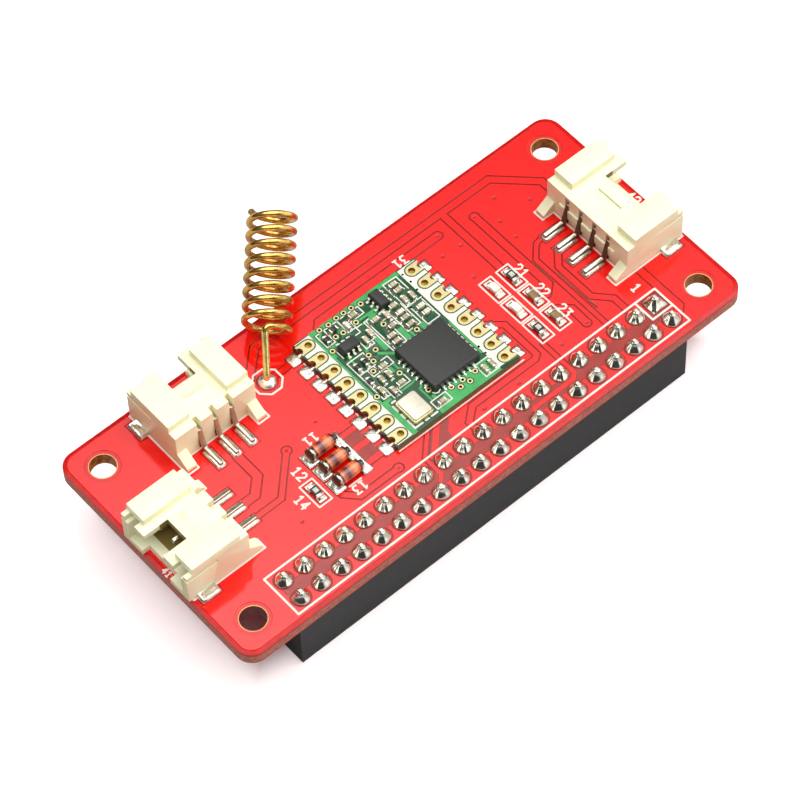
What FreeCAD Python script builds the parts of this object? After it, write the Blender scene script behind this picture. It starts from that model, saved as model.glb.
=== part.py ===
import FreeCAD, Part
import math
import os

os.makedirs("parts", exist_ok=True)
V = FreeCAD.Vector

# Main board, origin at the centre of the four mounting holes on its underside, long side along X
mount_spacing_x = 58.0
mount_spacing_y = 23.0
mount_hole_diameter = 2.75
end_margin = 3.35
side_margin = 3.4
board_length = mount_spacing_x + 2 * end_margin
board_width = mount_spacing_y + 2 * side_margin
board_thickness = 1.6
board_corner_radius = 1.9
pad_height = 0.08
edge_tolerance = 1e-6

# Two-row socket header under the near edge, with its tails soldered through the board
pin_pitch = 2.54
header_columns = 20
header_centre_y = -11.5
header_height = 8.05
header_width = 4.7
socket_width = 1.0
socket_depth = 6.6
socket_lead_in = 0.3
socket_sides = 4
contact_width = 0.6
contact_thickness = 0.22
contact_setback = 1.0
tail_width = 0.54
tail_hole_diameter = 1.0
tail_proud = 1.25
tail_point = 0.12
header_pad_diameter = 1.9
header_solder_height = 0.75
header_solder_top_diameter = 0.95
solder_sides = 10

# Side-entry wire connectors, one shape with three or four ways
way_pitch = 2.0
fewest_ways = 3
shell_side_margin = 2.98
shell_depth = 7.6
shell_roof_height = 4.1
shell_wall = 0.95
shell_floor = 0.75
shell_back_wall = 1.6
rail_width = 2.6
rail_height = 0.9
rail_back_gap = 1.0
rail_front_gap = 0.75
rail_channel_margin = 0.55
latch_notch_depth = 2.9
latch_notch_margin = 0.38
latch_ramp_start = 3.05
latch_ramp_length = 1.1
latch_ramp_height = 0.32
latch_ramp_width = 2.35
lip_cut_depth = 0.9
lip_cut_margin = 0.27
slot_width = 0.56
slot_depth = 0.85
slot_cover = 0.35
back_ledge_reach = 0.2
back_ledge_level = 0.95
back_ledge_height = 1.25
back_ledge_margin = 1.05
rear_leg_reach = 1.5
rear_leg_root_height = 1.5
rear_leg_tip_height = 0.45
rear_leg_width = 1.15
clip_slit_height = 0.3
clip_slit_level = 3.3
terminal_width = 0.5
terminal_level = 2.3
terminal_reach_in = 5.4
terminal_bend_reach = 0.65
terminal_foot_reach = 3.15
land_width = 1.15
land_reach_start = 0.6
land_reach_end = 3.35
clip_centre = 5.6
clip_width = 2.0
clip_thickness = 0.3
clip_reach = 0.95
clip_height = 2.2
clip_land_overhang = 0.2
right_mouth_setback = 0.3
left_mouth_setback = -0.05
top_mouth_setback = 0.43
right_connector_y = 0.12
left_connector_y = -1.1
top_connector_x = -18.3
right_connector_ways = 4
left_connector_ways = 3
top_connector_ways = 3

# Castellated radio board soldered flat on the main board
module_size = 16.0
module_thickness = 0.8
module_x = 1.6
module_y = 1.6
castellations = 8
castellation_pitch = module_size / castellations
castellation_radius = 0.42
castellation_hole_inset = 1.2
castellation_hole_diameter = 0.75
module_land_reach = 1.25
module_land_width = 1.4
module_fillet_height = 0.75
module_fillet_width = 1.2
module_fillet_reach = 1.1
module_fillet_shoulder = 0.95

# Chips, crystal and small parts on the radio board
radio_chip_size = 6.0
radio_chip_height = 0.85
radio_chip_x = 3.45
radio_chip_y = -0.98
radio_chip_bevel = 0.12
radio_lead_pitch = 0.65
radio_leads_a_side = 7
radio_lead_width = 0.3
radio_lead_reach = 0.3
radio_lead_height = 0.2
crystal_length = 3.2
crystal_width = 2.5
crystal_base_height = 0.45
crystal_lid_height = 0.22
crystal_lid_inset = 0.14
crystal_corner_radius = 0.3
crystal_x = -2.3
crystal_y = -4.15
switch_body_length = 2.05
switch_body_width = 1.2
switch_body_height = 0.75
switch_stand_off = 0.15
switch_lead_pitch = 0.65
switch_lead_width = 0.26
switch_lead_thickness = 0.14
switch_lead_reach = 0.5
switch_lead_run_out = 0.08
switch_body_bevel = 0.15
switch_places = ((-2.43, 5.62, 0.0), (3.46, 7.9, 90.0))
chip_part_length = 1.0
chip_part_width = 0.5
chip_part_height = 0.45
chip_part_end = 0.24
radio_capacitors = (
    (0.35, 8.3, 0.0), (-0.6, 5.1, 90.0), (0.25, 5.5, 90.0), (-1.35, 1.65, 0.0), (-2.5, 0.5, 90.0),
    (-1.6, 0.5, 90.0), (-3.35, -0.5, 90.0), (-2.45, -1.3, 90.0), (-1.35, -1.05, 0.0), (1.65, 6.35, 0.0),
    (1.65, 3.8, 0.0), (1.6, 3.0, 0.0), (2.9, 6.0, 90.0), (2.5, 4.7, 0.0), (4.1, 6.45, 0.0),
    (4.1, 4.6, 0.0), (4.0, 3.65, 0.0), (5.75, 8.4, 0.0), (5.75, 7.6, 0.0), (5.5, 6.3, 90.0),
    (6.4, 6.2, 90.0), (0.25, -5.4, 0.0), (5.95, -5.3, 90.0), (6.85, -5.3, 90.0),
)
radio_resistors = (
    (-3.5, 7.7, 90.0), (-2.2, 8.2, 0.0), (-3.35, 3.15, 90.0), (-2.4, 3.15, 90.0), (-3.5, 1.1, 90.0),
)
radio_inductors = ((-0.85, 7.7, 90.0), (4.1, 5.4, 0.0), (6.15, 4.6, 0.0), (6.1, 3.7, 0.0))

# Glass diodes and small parts on the main board
diode_x = -11.9
diode_rows = (-1.45, -3.45, -5.45)
diode_length = 3.5
diode_diameter = 1.5
diode_cap_length = 0.55
diode_glass_diameter = 1.4
diode_bore_diameter = 0.9
diode_die_length = 0.4
diode_left_land = (-14.15, -12.75)
diode_right_land = (-10.6, -9.5)
diode_land_width = 1.7
small_part_length = 1.6
small_part_width = 0.8
small_part_height = 0.5
small_part_end = 0.32
small_land_length = 0.8
small_land_width = 0.9
small_fillet_height = 0.3
diode_fillet_height = 0.7
diode_fillet_width = 0.9
small_part_columns = (13.4, 15.7)
small_part_rows = (1.7, -1.58, -4.85)
lone_resistor_place = (-15.5, -4.75)
light_base_height = 0.2

# Coil antenna, one wire: a tail through the board, a leaning stalk and nine close turns
wire_diameter = 0.7
wire_tail_depth = 1.0
antenna_x = -10.7
antenna_y = 8.4
antenna_hole_diameter = 1.0
antenna_pad_diameter = 1.9
antenna_solder_height = 0.6
antenna_solder_top_diameter = 1.0
antenna_solder_sides = 20
stalk_knee_height = 1.0
stalk_knee_radius = 0.8
coil_bend_radius = 0.5
coil_radius = 2.26
coil_pitch = 1.446
coil_turns = 8.67
coil_start_angle = 104.0
coil_azimuth = 43.9
coil_elevation = 19.15
coil_foot_reach_x = 2.53
coil_foot_reach_y = 3.03
coil_foot_rise = 2.3

board_top = board_thickness
module_top = board_top + module_thickness
header_length = header_columns * pin_pitch
connector_places = {
    "right": (board_length / 2 - right_mouth_setback - shell_depth, right_connector_y, 0.0,
              right_connector_ways),
    "left": (shell_depth + left_mouth_setback - board_length / 2, left_connector_y, 180.0,
             left_connector_ways),
    "top": (top_connector_x, board_width / 2 - top_mouth_setback - shell_depth, 90.0,
            top_connector_ways),
}


def box(x0, x1, y0, y1, z0, z1):
    return Part.makeBox(x1 - x0, y1 - y0, z1 - z0, V(x0, y0, z0))


def block(x, y, z, length, width, height):
    """A box standing on z, centred on x and y."""
    return box(x - length / 2, x + length / 2, y - width / 2, y + width / 2, z, z + height)


def prism(points, direction):
    """A closed outline pushed along a direction."""
    return Part.Face(Part.makePolygon(points + points[:1])).extrude(direction)


def frustum(x, y, z, base_radius, top_radius, height, sides):
    """A flat-sided frustum, its radii measured to the middle of each side."""
    to_corner = math.pi / sides
    rings = []
    for radius, level in ((base_radius, z), (top_radius, z + height)):
        reach = radius / math.cos(to_corner)
        angles = [(2 * k + 1) * to_corner for k in range(sides)]
        rings.append([V(x + reach * math.cos(a), y + reach * math.sin(a), level) for a in angles])
    low, high = rings
    outlines = [low, high]
    outlines += [[low[k - 1], low[k], high[k], high[k - 1]] for k in range(sides)]
    faces = [Part.Face(Part.makePolygon(points + points[:1])) for points in outlines]
    solid = Part.makeSolid(Part.makeShell(faces))
    if solid.Volume < 0:
        solid.reverse()
    return solid


def turned(shape, degrees, x=0.0, y=0.0):
    """A copy turned about Z and carried to x and y."""
    copy = shape.copy()
    about_z = FreeCAD.Rotation(V(0, 0, 1), degrees)
    copy.Placement = FreeCAD.Placement(V(x, y, 0), about_z).multiply(copy.Placement)
    return copy


def edges_at(shape, level):
    """The edges that lie flat at this height."""
    return [e for e in shape.Edges if all(abs(v.Z - level) < edge_tolerance for v in e.Vertexes)]


def save(node, solids):
    shape = Part.makeCompound(solids) if len(solids) > 1 else solids[0]
    shape.exportStep("parts/" + node + ".step")


def header_places():
    """Centres of the header's pins, the pin next to the square pad first."""
    for column in range(header_columns):
        x = (header_columns - 1 - 2 * column) * pin_pitch / 2
        for side in (1, -1):
            yield x, header_centre_y + side * pin_pitch / 2


def mount_places():
    for sx in (-1, 1):
        for sy in (-1, 1):
            yield sx * mount_spacing_x / 2, sy * mount_spacing_y / 2


# Main board
def make_board():
    board = block(0, 0, 0, board_length, board_width, board_thickness)
    upright = [e for e in board.Edges if abs(e.Vertexes[0].Z - e.Vertexes[-1].Z) > board_thickness / 2]
    board = board.makeFillet(board_corner_radius, upright)
    holes = [(x, y, mount_hole_diameter) for x, y in mount_places()]
    holes += [(x, y, tail_hole_diameter) for x, y in header_places()]
    holes.append((antenna_x, antenna_y, antenna_hole_diameter))
    drills = [Part.makeCylinder(d / 2, board_thickness, V(x, y, 0)) for x, y, d in holes]
    return board.cut(drills)


# Header: moulding, contacts and solder
def make_header_housing():
    housing = block(0, header_centre_y, -header_height, header_length, header_width, header_height)
    cuts = []
    for x, y in header_places():
        cuts.append(block(x, y, -header_height, socket_width, socket_width, socket_depth))
        cuts.append(block(x, y, -header_height, tail_width, tail_width, header_height))
        cuts.append(frustum(x, y, -header_height, socket_width / 2 + socket_lead_in, socket_width / 2,
                            socket_lead_in, socket_sides))
    return housing.cut(cuts)


def make_header_contact(x, y):
    """A leaf that presses in the socket, with a square tail through the board."""
    socket_roof = socket_depth - header_height
    foot_level = socket_roof - contact_thickness
    leaf_base = socket_width / 2 - contact_thickness
    leaf = box(x - contact_width / 2, x + contact_width / 2, y + leaf_base, y + socket_width / 2,
               -header_height + contact_setback, socket_roof)
    foot = box(x - contact_width / 2, x + contact_width / 2, y - tail_width / 2, y + socket_width / 2,
               foot_level, socket_roof)
    tail_top = board_top + tail_proud
    tail = block(x, y, foot_level, tail_width, tail_width, tail_top - foot_level)
    tail = tail.makeChamfer(tail_point, edges_at(tail, tail_top))
    return tail.fuse([leaf, foot]).removeSplitter()


def make_header_solder(x, y):
    hill = frustum(x, y, board_top, header_pad_diameter / 2, header_solder_top_diameter / 2,
                   header_solder_height, solder_sides)
    return hill.cut(block(x, y, board_top, tail_width, tail_width, header_solder_height))


# Wire connectors, drawn with the mouth along X, the back wall at X = 0 and the board at Z = 0
def shell_width(ways):
    return (ways - 1) * way_pitch + 2 * shell_side_margin


def way_rows(ways):
    return [(k - (ways - 1) / 2) * way_pitch for k in range(ways)]


def make_shell(ways):
    half = shell_width(ways) / 2
    extra = (ways - fewest_ways) * way_pitch / 2
    covered = ways > fewest_ways
    roof = shell_roof_height
    top = roof + rail_height
    shell = box(0, shell_depth, -half, half, 0, roof)
    rails = []
    for side in (-1, 1):
        y0, y1 = sorted((side * (half - rail_width), side * half))
        rails.append(box(rail_back_gap, shell_depth - rail_front_gap, y0, y1, roof, top))
    ramp_half = latch_ramp_width / 2 + extra / 2
    ramp_outline = [
        V(latch_ramp_start, -ramp_half, roof), V(latch_ramp_start, -ramp_half, roof + latch_ramp_height),
        V(latch_ramp_start + latch_ramp_length, -ramp_half, roof),
    ]
    ramp = prism(ramp_outline, V(0, 2 * ramp_half, 0))
    legs = []
    for side in (-1, 1):
        y0 = half - rear_leg_width if side > 0 else -half
        outline = [V(0, y0, 0), V(-rear_leg_reach, y0, 0), V(-rear_leg_reach, y0, rear_leg_tip_height),
                   V(0, y0, rear_leg_root_height)]
        legs.append(prism(outline, V(0, rear_leg_width, 0)))
    ledges = []
    if covered:
        ledge_half = way_rows(ways)[-1] + back_ledge_margin
        ledges.append(box(-back_ledge_reach, 0, -ledge_half, ledge_half, back_ledge_level,
                          back_ledge_level + back_ledge_height))
    shell = shell.fuse(rails + [ramp] + legs + ledges).removeSplitter()

    hollow_half = half - shell_wall
    ceiling = roof - shell_floor
    cuts = [box(shell_back_wall, shell_depth, -hollow_half, hollow_half, shell_floor, ceiling)]
    channel_half = rail_width / 2 - rail_channel_margin
    channel_y = half - rail_width / 2
    for side in (-1, 1):
        cuts.append(block(shell_back_wall + (shell_depth - shell_back_wall) / 2, side * channel_y, ceiling,
                          shell_depth - shell_back_wall, 2 * channel_half, shell_floor))
    notch_half = half - rail_width - rail_channel_margin - latch_notch_margin
    cuts.append(box(shell_depth - latch_notch_depth, shell_depth, -notch_half, notch_half, ceiling, roof))
    lip_half = half - rail_width - rail_channel_margin + lip_cut_margin
    cuts.append(box(shell_depth - lip_cut_depth, shell_depth, -lip_half, lip_half, 0, shell_floor))
    slot_top = roof - slot_cover if covered else roof
    for y in way_rows(ways):
        cuts.append(box(-back_ledge_reach, slot_depth, y - slot_width / 2, y + slot_width / 2, 0, slot_top))
        cuts.append(box(slot_depth, shell_back_wall, y - terminal_width / 2, y + terminal_width / 2,
                        terminal_level, terminal_level + terminal_width))
    slit_top = clip_slit_level + clip_slit_height
    for side in (-1, 1):
        wall_mid = side * (half - shell_wall / 2)
        cuts.append(block(clip_centre, wall_mid, 0, clip_width, clip_thickness, clip_height))
        y0, y1 = sorted((wall_mid, side * half))
        x0 = clip_centre - clip_width / 2
        cuts.append(box(x0, x0 + clip_width, y0, y1, 0, clip_thickness))
        cuts.append(box(shell_depth / 2, shell_depth, y0, y1, clip_slit_level, slit_top))
    return shell.cut(cuts)


def make_terminal(y):
    """A square pin: blade in the mouth, a bend down outside the back wall and a foot on the board."""
    t = terminal_width
    low = terminal_level
    top = low + t
    lean = terminal_bend_reach / (low - pad_height)
    across = t * math.hypot(1, lean)
    outline = [
        (terminal_reach_in, low), (terminal_reach_in, top), (0, top),
        (-terminal_bend_reach, pad_height + t), (-terminal_foot_reach, pad_height + t),
        (-terminal_foot_reach, pad_height), (across - lean * (top - pad_height), pad_height),
        (across - lean * t, low),
    ]
    return prism([V(x, y - t / 2, z) for x, z in outline], V(0, t, 0))


def make_clip(side, ways):
    """A solder clip: a blade up inside the side wall and a tab out on to its land."""
    half = shell_width(ways) / 2
    wall_mid = half - shell_wall / 2
    blade = block(clip_centre, side * wall_mid, 0, clip_width, clip_thickness, clip_height)
    blade = blade.cut(block(clip_centre, side * wall_mid, 0, clip_width, clip_thickness, pad_height))
    y0, y1 = sorted((side * wall_mid, side * (half + clip_reach)))
    x0 = clip_centre - clip_width / 2
    tab = box(x0, x0 + clip_width, y0, y1, pad_height, clip_thickness)
    return blade.fuse(tab).removeSplitter()


def make_connector_lands(ways):
    half = shell_width(ways) / 2
    lands = [
        box(-land_reach_end, -land_reach_start, y - land_width / 2, y + land_width / 2, 0, pad_height)
        for y in way_rows(ways)
    ]
    for side in (-1, 1):
        y0, y1 = sorted((side * half, side * (half + clip_reach + clip_land_overhang)))
        lands.append(box(clip_centre - clip_width / 2 - clip_land_overhang,
                         clip_centre + clip_width / 2 + clip_land_overhang, y0, y1, 0, pad_height))
    return lands


def on_board(shape, place):
    x, y, degrees, ways = place
    lifted = shape.copy()
    lifted.translate(V(0, 0, board_top))
    return turned(lifted, degrees, x, y)


# Radio board
def castellation_rows():
    return [module_y + (k - (castellations - 1) / 2) * castellation_pitch for k in range(castellations)]


def make_module_board():
    plate = block(module_x, module_y, board_top, module_size, module_size, module_thickness)
    drills = []
    for side in (-1, 1):
        edge = module_x + side * module_size / 2
        for y in castellation_rows():
            drills.append(Part.makeCylinder(castellation_radius, module_thickness, V(edge, y, board_top)))
            hole_foot = V(edge - side * castellation_hole_inset, y, board_top)
            drills.append(Part.makeCylinder(castellation_hole_diameter / 2, module_thickness, hole_foot))
    return plate.cut(drills)


def make_module_solder():
    """A sloping fillet from each castellation down to its land."""
    fillets = []
    for side in (-1, 1):
        edge = module_x + side * module_size / 2
        low = board_top + pad_height
        for y in castellation_rows():
            outline = [
                V(edge, y, low), V(edge + side * module_fillet_reach, y, low),
                V(edge + side * module_fillet_shoulder, y, low + module_fillet_height / 3),
                V(edge + side * castellation_radius, y, low + module_fillet_height * 2 / 3),
                V(edge, y, board_top + module_fillet_height),
            ]
            fillet = prism(outline, V(0, module_fillet_width, 0))
            fillet.translate(V(0, -module_fillet_width / 2, 0))
            fillets.append(fillet)
    return fillets


def make_module_lands():
    """Lands start at the radio board's edge, so that it lies flat between them."""
    lands = []
    for side in (-1, 1):
        edge = module_x + side * module_size / 2
        x0, x1 = sorted((edge, edge + side * module_land_reach))
        for y in castellation_rows():
            lands.append(box(x0, x1, y - module_land_width / 2, y + module_land_width / 2, board_top,
                             board_top + pad_height))
    return lands


def make_radio_chip():
    chip = block(radio_chip_x, radio_chip_y, module_top, radio_chip_size, radio_chip_size,
                 radio_chip_height)
    return chip.makeChamfer(radio_chip_bevel, edges_at(chip, module_top + radio_chip_height))


def make_radio_leads():
    leads = []
    for quarter in range(4):
        for k in range(radio_leads_a_side):
            along = (k - (radio_leads_a_side - 1) / 2) * radio_lead_pitch
            lead = block(radio_chip_size / 2 + radio_lead_reach / 2, along, module_top,
                         radio_lead_reach, radio_lead_width, radio_lead_height)
            leads.append(turned(lead, 90 * quarter, radio_chip_x, radio_chip_y))
    return leads


def rounded_block(x, y, z, length, width, height, radius):
    shape = block(x, y, z, length, width, height)
    upright = [e for e in shape.Edges if abs(e.Vertexes[0].Z - e.Vertexes[-1].Z) > height / 2]
    return shape.makeFillet(radius, upright)


def make_crystal():
    base = rounded_block(crystal_x, crystal_y, module_top, crystal_width, crystal_length,
                         crystal_base_height, crystal_corner_radius)
    lid = rounded_block(crystal_x, crystal_y, module_top + crystal_base_height,
                        crystal_width - 2 * crystal_lid_inset, crystal_length - 2 * crystal_lid_inset,
                        crystal_lid_height, crystal_corner_radius)
    return base, lid


def make_switch():
    """A six-lead chip standing on its leads, long side along X."""
    low = module_top + switch_stand_off
    body = block(0, 0, low, switch_body_length, switch_body_width, switch_body_height)
    body = body.makeChamfer(switch_body_bevel, edges_at(body, low + switch_body_height))
    t = switch_lead_thickness
    half = switch_body_width / 2
    inner = half + switch_lead_run_out
    tip = half + switch_lead_reach
    knee = low + switch_body_height / 2
    outline = [
        (half, knee), (inner + t, knee), (inner + t, module_top + t), (tip, module_top + t),
        (tip, module_top), (inner, module_top), (inner, knee - t), (half, knee - t),
    ]
    leads = []
    for k in (-1, 0, 1):
        x = k * switch_lead_pitch - switch_lead_width / 2
        lead = prism([V(x, y, z) for y, z in outline], V(switch_lead_width, 0, 0))
        leads.append(lead)
        leads.append(turned(lead, 180))
    return body, leads


def chip_part(length, width, height, end, z):
    """Body and two metal end caps of a small two-ended part, along X."""
    body = block(0, 0, z, length - 2 * end, width, height)
    ends = [block(side * (length - end) / 2, 0, z, end, width, height) for side in (-1, 1)]
    return body, ends


def place_parts(body, ends, places):
    bodies = [turned(body, degrees, x, y) for x, y, degrees in places]
    caps = [turned(e, degrees, x, y) for x, y, degrees in places for e in ends]
    return bodies, caps


# Diodes: glass sleeve, two studs with caps and the die pressed between them
def make_diodes():
    glasses = []
    studs = []
    dies = []
    axis_z = board_top + pad_height + diode_diameter / 2
    inner = diode_length - 2 * diode_cap_length
    for y in diode_rows:
        x0 = diode_x - diode_length / 2
        sleeve_x = x0 + diode_cap_length
        outer = Part.makeCylinder(diode_glass_diameter / 2, inner, V(sleeve_x, y, axis_z), V(1, 0, 0))
        bore = Part.makeCylinder(diode_bore_diameter / 2, inner, V(sleeve_x, y, axis_z), V(1, 0, 0))
        glasses.append(outer.cut(bore))
        stud_length = (inner - diode_die_length) / 2
        for x, push in ((x0, 1), (x0 + diode_length, -1)):
            cap = Part.makeCylinder(diode_diameter / 2, diode_cap_length, V(x, y, axis_z), V(push, 0, 0))
            stud = Part.makeCylinder(diode_bore_diameter / 2, diode_cap_length + stud_length,
                                     V(x, y, axis_z), V(push, 0, 0))
            studs.append(cap.fuse(stud).removeSplitter())
        dies.append(Part.makeCylinder(diode_bore_diameter / 2, diode_die_length,
                                      V(diode_x - diode_die_length / 2, y, axis_z), V(1, 0, 0)))
    return glasses, studs, dies


def small_part_places():
    """Upper two of the left column are lights, the lower right two are capacitors."""
    places = {(c, r): (small_part_columns[c], small_part_rows[r], 90.0) for c in (0, 1) for r in (0, 1, 2)}
    lights = [places[0, 0], places[0, 1]]
    resistors = [places[0, 2], places[1, 0], lone_resistor_place + (90.0,)]
    capacitors = [places[1, 1], places[1, 2]]
    return lights, resistors, capacitors


def make_small_lands():
    lands = []
    lights, resistors, capacitors = small_part_places()
    for x, y, degrees in lights + resistors + capacitors:
        for side in (-1, 1):
            land = block(side * small_part_length / 2, 0, board_top, small_land_length, small_land_width,
                         pad_height)
            lands.append(turned(land, degrees, x, y))
    for y in diode_rows:
        for x0, x1 in (diode_left_land, diode_right_land):
            lands.append(box(x0, x1, y - diode_land_width / 2, y + diode_land_width / 2, board_top,
                             board_top + pad_height))
    return lands


def solder_wedge(near, far, width, height):
    """A fillet that leans on an end face at near and runs out on its land to far."""
    low = board_top + pad_height
    outline = [V(near, -width / 2, low), V(far, -width / 2, low), V(near, -width / 2, low + height)]
    return prism(outline, V(0, width, 0))


def make_small_solder():
    wedges = []
    lights, resistors, capacitors = small_part_places()
    end = small_part_length / 2
    small = solder_wedge(end, end + small_land_length / 2, small_part_width, small_fillet_height)
    for x, y, degrees in lights + resistors + capacitors:
        wedges += [turned(small, degrees, x, y), turned(small, degrees + 180, x, y)]
    end = diode_length / 2
    left = solder_wedge(-end, diode_left_land[0] - diode_x, diode_fillet_width, diode_fillet_height)
    right = solder_wedge(end, diode_right_land[1] - diode_x, diode_fillet_width, diode_fillet_height)
    for y in diode_rows:
        wedges += [turned(left, 0, diode_x, y), turned(right, 0, diode_x, y)]
    return wedges


# Antenna: every stretch of the wire meets the next one along its tangent
def coil_axes():
    azimuth = math.radians(coil_azimuth)
    elevation = math.radians(coil_elevation)
    level = V(math.sin(azimuth), math.cos(azimuth), 0)
    along = level * math.cos(elevation) + V(0, 0, math.sin(elevation))
    rise = V(0, 0, math.cos(elevation)) - level * math.sin(elevation)
    return along, along.cross(rise), rise


def make_antenna_wire():
    along, side, rise = coil_axes()
    coil_foot = V(antenna_x + coil_foot_reach_x, antenna_y + coil_foot_reach_y, board_top + coil_foot_rise)
    start = math.radians(coil_start_angle)
    spoke = rise * math.sin(start) - side * math.cos(start)
    coil_base = coil_foot + along * (coil_pitch * start / (2 * math.pi))
    coil_end = coil_base + spoke * coil_radius
    slope = math.atan(coil_pitch / (2 * math.pi * coil_radius))
    leaving = -(along.cross(spoke) * math.cos(slope) + along * math.sin(slope))

    knee = V(antenna_x, antenna_y, board_top + stalk_knee_height)
    to_knee = knee - coil_end
    inward = to_knee - leaving * to_knee.dot(leaving)
    inward.normalize()
    ahead = to_knee.dot(leaving)
    across = to_knee.dot(inward) - coil_bend_radius
    bend = math.atan2(across, ahead) + math.asin(coil_bend_radius / math.hypot(ahead, across))
    bend_point = {}
    for name, angle in (("middle", bend / 2), ("end", bend)):
        bend_point[name] = (coil_end + leaving * (coil_bend_radius * math.sin(angle))
                            + inward * (coil_bend_radius * (1 - math.cos(angle))))
    stalk = knee - bend_point["end"]
    stalk.normalize()

    lean = stalk.getAngle(V(0, 0, -1))
    setback = stalk_knee_radius * math.tan(lean / 2)
    knee_top = knee - stalk * setback
    knee_foot = knee - V(0, 0, setback)
    toward = knee_top + knee_foot - knee * 2
    toward.normalize()
    knee_middle = knee + toward * (stalk_knee_radius / math.cos(lean / 2) - stalk_knee_radius)
    tail = V(antenna_x, antenna_y, -wire_tail_depth)

    section = Part.Wire([Part.Circle(tail, V(0, 0, 1), wire_diameter / 2).toShape()])
    straight_and_bent = Part.Wire([
        Part.LineSegment(tail, knee_foot).toShape(),
        Part.Arc(knee_foot, knee_middle, knee_top).toShape(),
        Part.LineSegment(knee_top, bend_point["end"]).toShape(),
        Part.Arc(bend_point["end"], bend_point["middle"], coil_end).toShape(),
    ])
    stalk_solid = straight_and_bent.makePipeShell([section], True, False)

    helix = Part.makeHelix(coil_pitch, coil_pitch * coil_turns, coil_radius)
    axes = FreeCAD.Rotation(spoke, along.cross(spoke), along, "ZXY")
    seat = FreeCAD.Placement(coil_base, axes)
    helix.Placement = seat
    ring = Part.Wire([Part.Circle(coil_end, leaving, wire_diameter / 2).toShape()])
    coil_solid = Part.Wire(helix).makePipeShell([ring], True, True)
    return stalk_solid, coil_solid


def make_antenna_solder():
    hill = frustum(antenna_x, antenna_y, board_top, antenna_pad_diameter / 2,
                   antenna_solder_top_diameter / 2, antenna_solder_height, antenna_solder_sides)
    foot = V(antenna_x, antenna_y, board_top)
    return hill.cut(Part.makeCylinder(wire_diameter / 2, antenna_solder_height, foot))


def build():
    save("main_board", [make_board()])
    save("header_housing", [make_header_housing()])
    save("header_contacts", [make_header_contact(x, y) for x, y in header_places()])
    save("header_solder", [make_header_solder(x, y) for x, y in header_places()])

    for name, place in connector_places.items():
        ways = place[3]
        save(name + "_connector_shell", [on_board(make_shell(ways), place)])
        save(name + "_connector_terminals", [on_board(make_terminal(y), place) for y in way_rows(ways)])
        save(name + "_connector_clips", [on_board(make_clip(side, ways), place) for side in (-1, 1)])
        save(name + "_connector_lands", [on_board(land, place) for land in make_connector_lands(ways)])

    save("radio_board", [make_module_board()])
    save("radio_board_solder", make_module_solder())
    save("radio_board_lands", make_module_lands())
    save("radio_chip", [make_radio_chip()])
    save("radio_chip_leads", make_radio_leads())
    crystal_base, crystal_lid = make_crystal()
    save("crystal_base", [crystal_base])
    save("crystal_lid", [crystal_lid])
    switch_body, switch_leads = make_switch()
    save("switch_chips", [turned(switch_body, degrees, x, y) for x, y, degrees in switch_places])
    save("switch_chip_leads",
         [turned(lead, degrees, x, y) for x, y, degrees in switch_places for lead in switch_leads])

    body, ends = chip_part(chip_part_length, chip_part_width, chip_part_height, chip_part_end, module_top)
    for kind, places in (
        ("capacitor", radio_capacitors), ("resistor", radio_resistors), ("inductor", radio_inductors),
    ):
        bodies, caps = place_parts(body, ends, places)
        save("radio_" + kind + "_bodies", bodies)
        save("radio_" + kind + "_ends", caps)

    lights, resistors, capacitors = small_part_places()
    low = board_top + pad_height
    body, ends = chip_part(small_part_length, small_part_width, small_part_height, small_part_end, low)
    for kind, places in (("capacitor", capacitors), ("resistor", resistors)):
        bodies, caps = place_parts(body, ends, places)
        save("board_" + kind + "_bodies", bodies)
        save("board_" + kind + "_ends", caps)
    light_base, light_ends = chip_part(small_part_length, small_part_width, light_base_height,
                                       small_part_end, low)
    lens_length = small_part_length - 2 * small_part_end
    lens = block(0, 0, low + light_base_height, lens_length, small_part_width,
                 small_part_height - light_base_height)
    bases, caps = place_parts(light_base, light_ends, lights)
    save("light_bases", bases)
    save("light_ends", caps)
    save("light_lenses", [turned(lens, degrees, x, y) for x, y, degrees in lights])

    glasses, studs, dies = make_diodes()
    save("diode_glass", glasses)
    save("diode_studs", studs)
    save("diode_dies", dies)
    save("small_part_lands", make_small_lands())
    save("small_part_solder", make_small_solder())

    stalk, coil = make_antenna_wire()
    save("antenna_wire", [stalk.fuse(coil).removeSplitter()])
    save("antenna_solder", [make_antenna_solder()])


build()
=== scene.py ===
import math
import random

import bmesh
import bpy
from mathutils import Matrix, Vector
from mathutils.geometry import delaunay_2d_cdt


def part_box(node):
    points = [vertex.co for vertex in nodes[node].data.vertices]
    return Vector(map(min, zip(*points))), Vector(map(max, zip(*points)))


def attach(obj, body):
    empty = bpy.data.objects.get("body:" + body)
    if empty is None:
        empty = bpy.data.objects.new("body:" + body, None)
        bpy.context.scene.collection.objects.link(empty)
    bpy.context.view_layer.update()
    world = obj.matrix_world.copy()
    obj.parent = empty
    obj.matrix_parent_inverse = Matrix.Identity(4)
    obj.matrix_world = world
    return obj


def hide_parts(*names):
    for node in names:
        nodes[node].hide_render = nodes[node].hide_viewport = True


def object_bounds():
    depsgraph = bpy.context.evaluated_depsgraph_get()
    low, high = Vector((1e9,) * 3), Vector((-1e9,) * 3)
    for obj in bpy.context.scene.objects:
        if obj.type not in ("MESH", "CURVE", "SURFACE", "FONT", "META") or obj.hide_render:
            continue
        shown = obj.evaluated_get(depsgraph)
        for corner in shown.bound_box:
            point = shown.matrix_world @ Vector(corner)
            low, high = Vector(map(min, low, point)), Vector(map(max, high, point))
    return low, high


MM = 0.001
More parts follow.
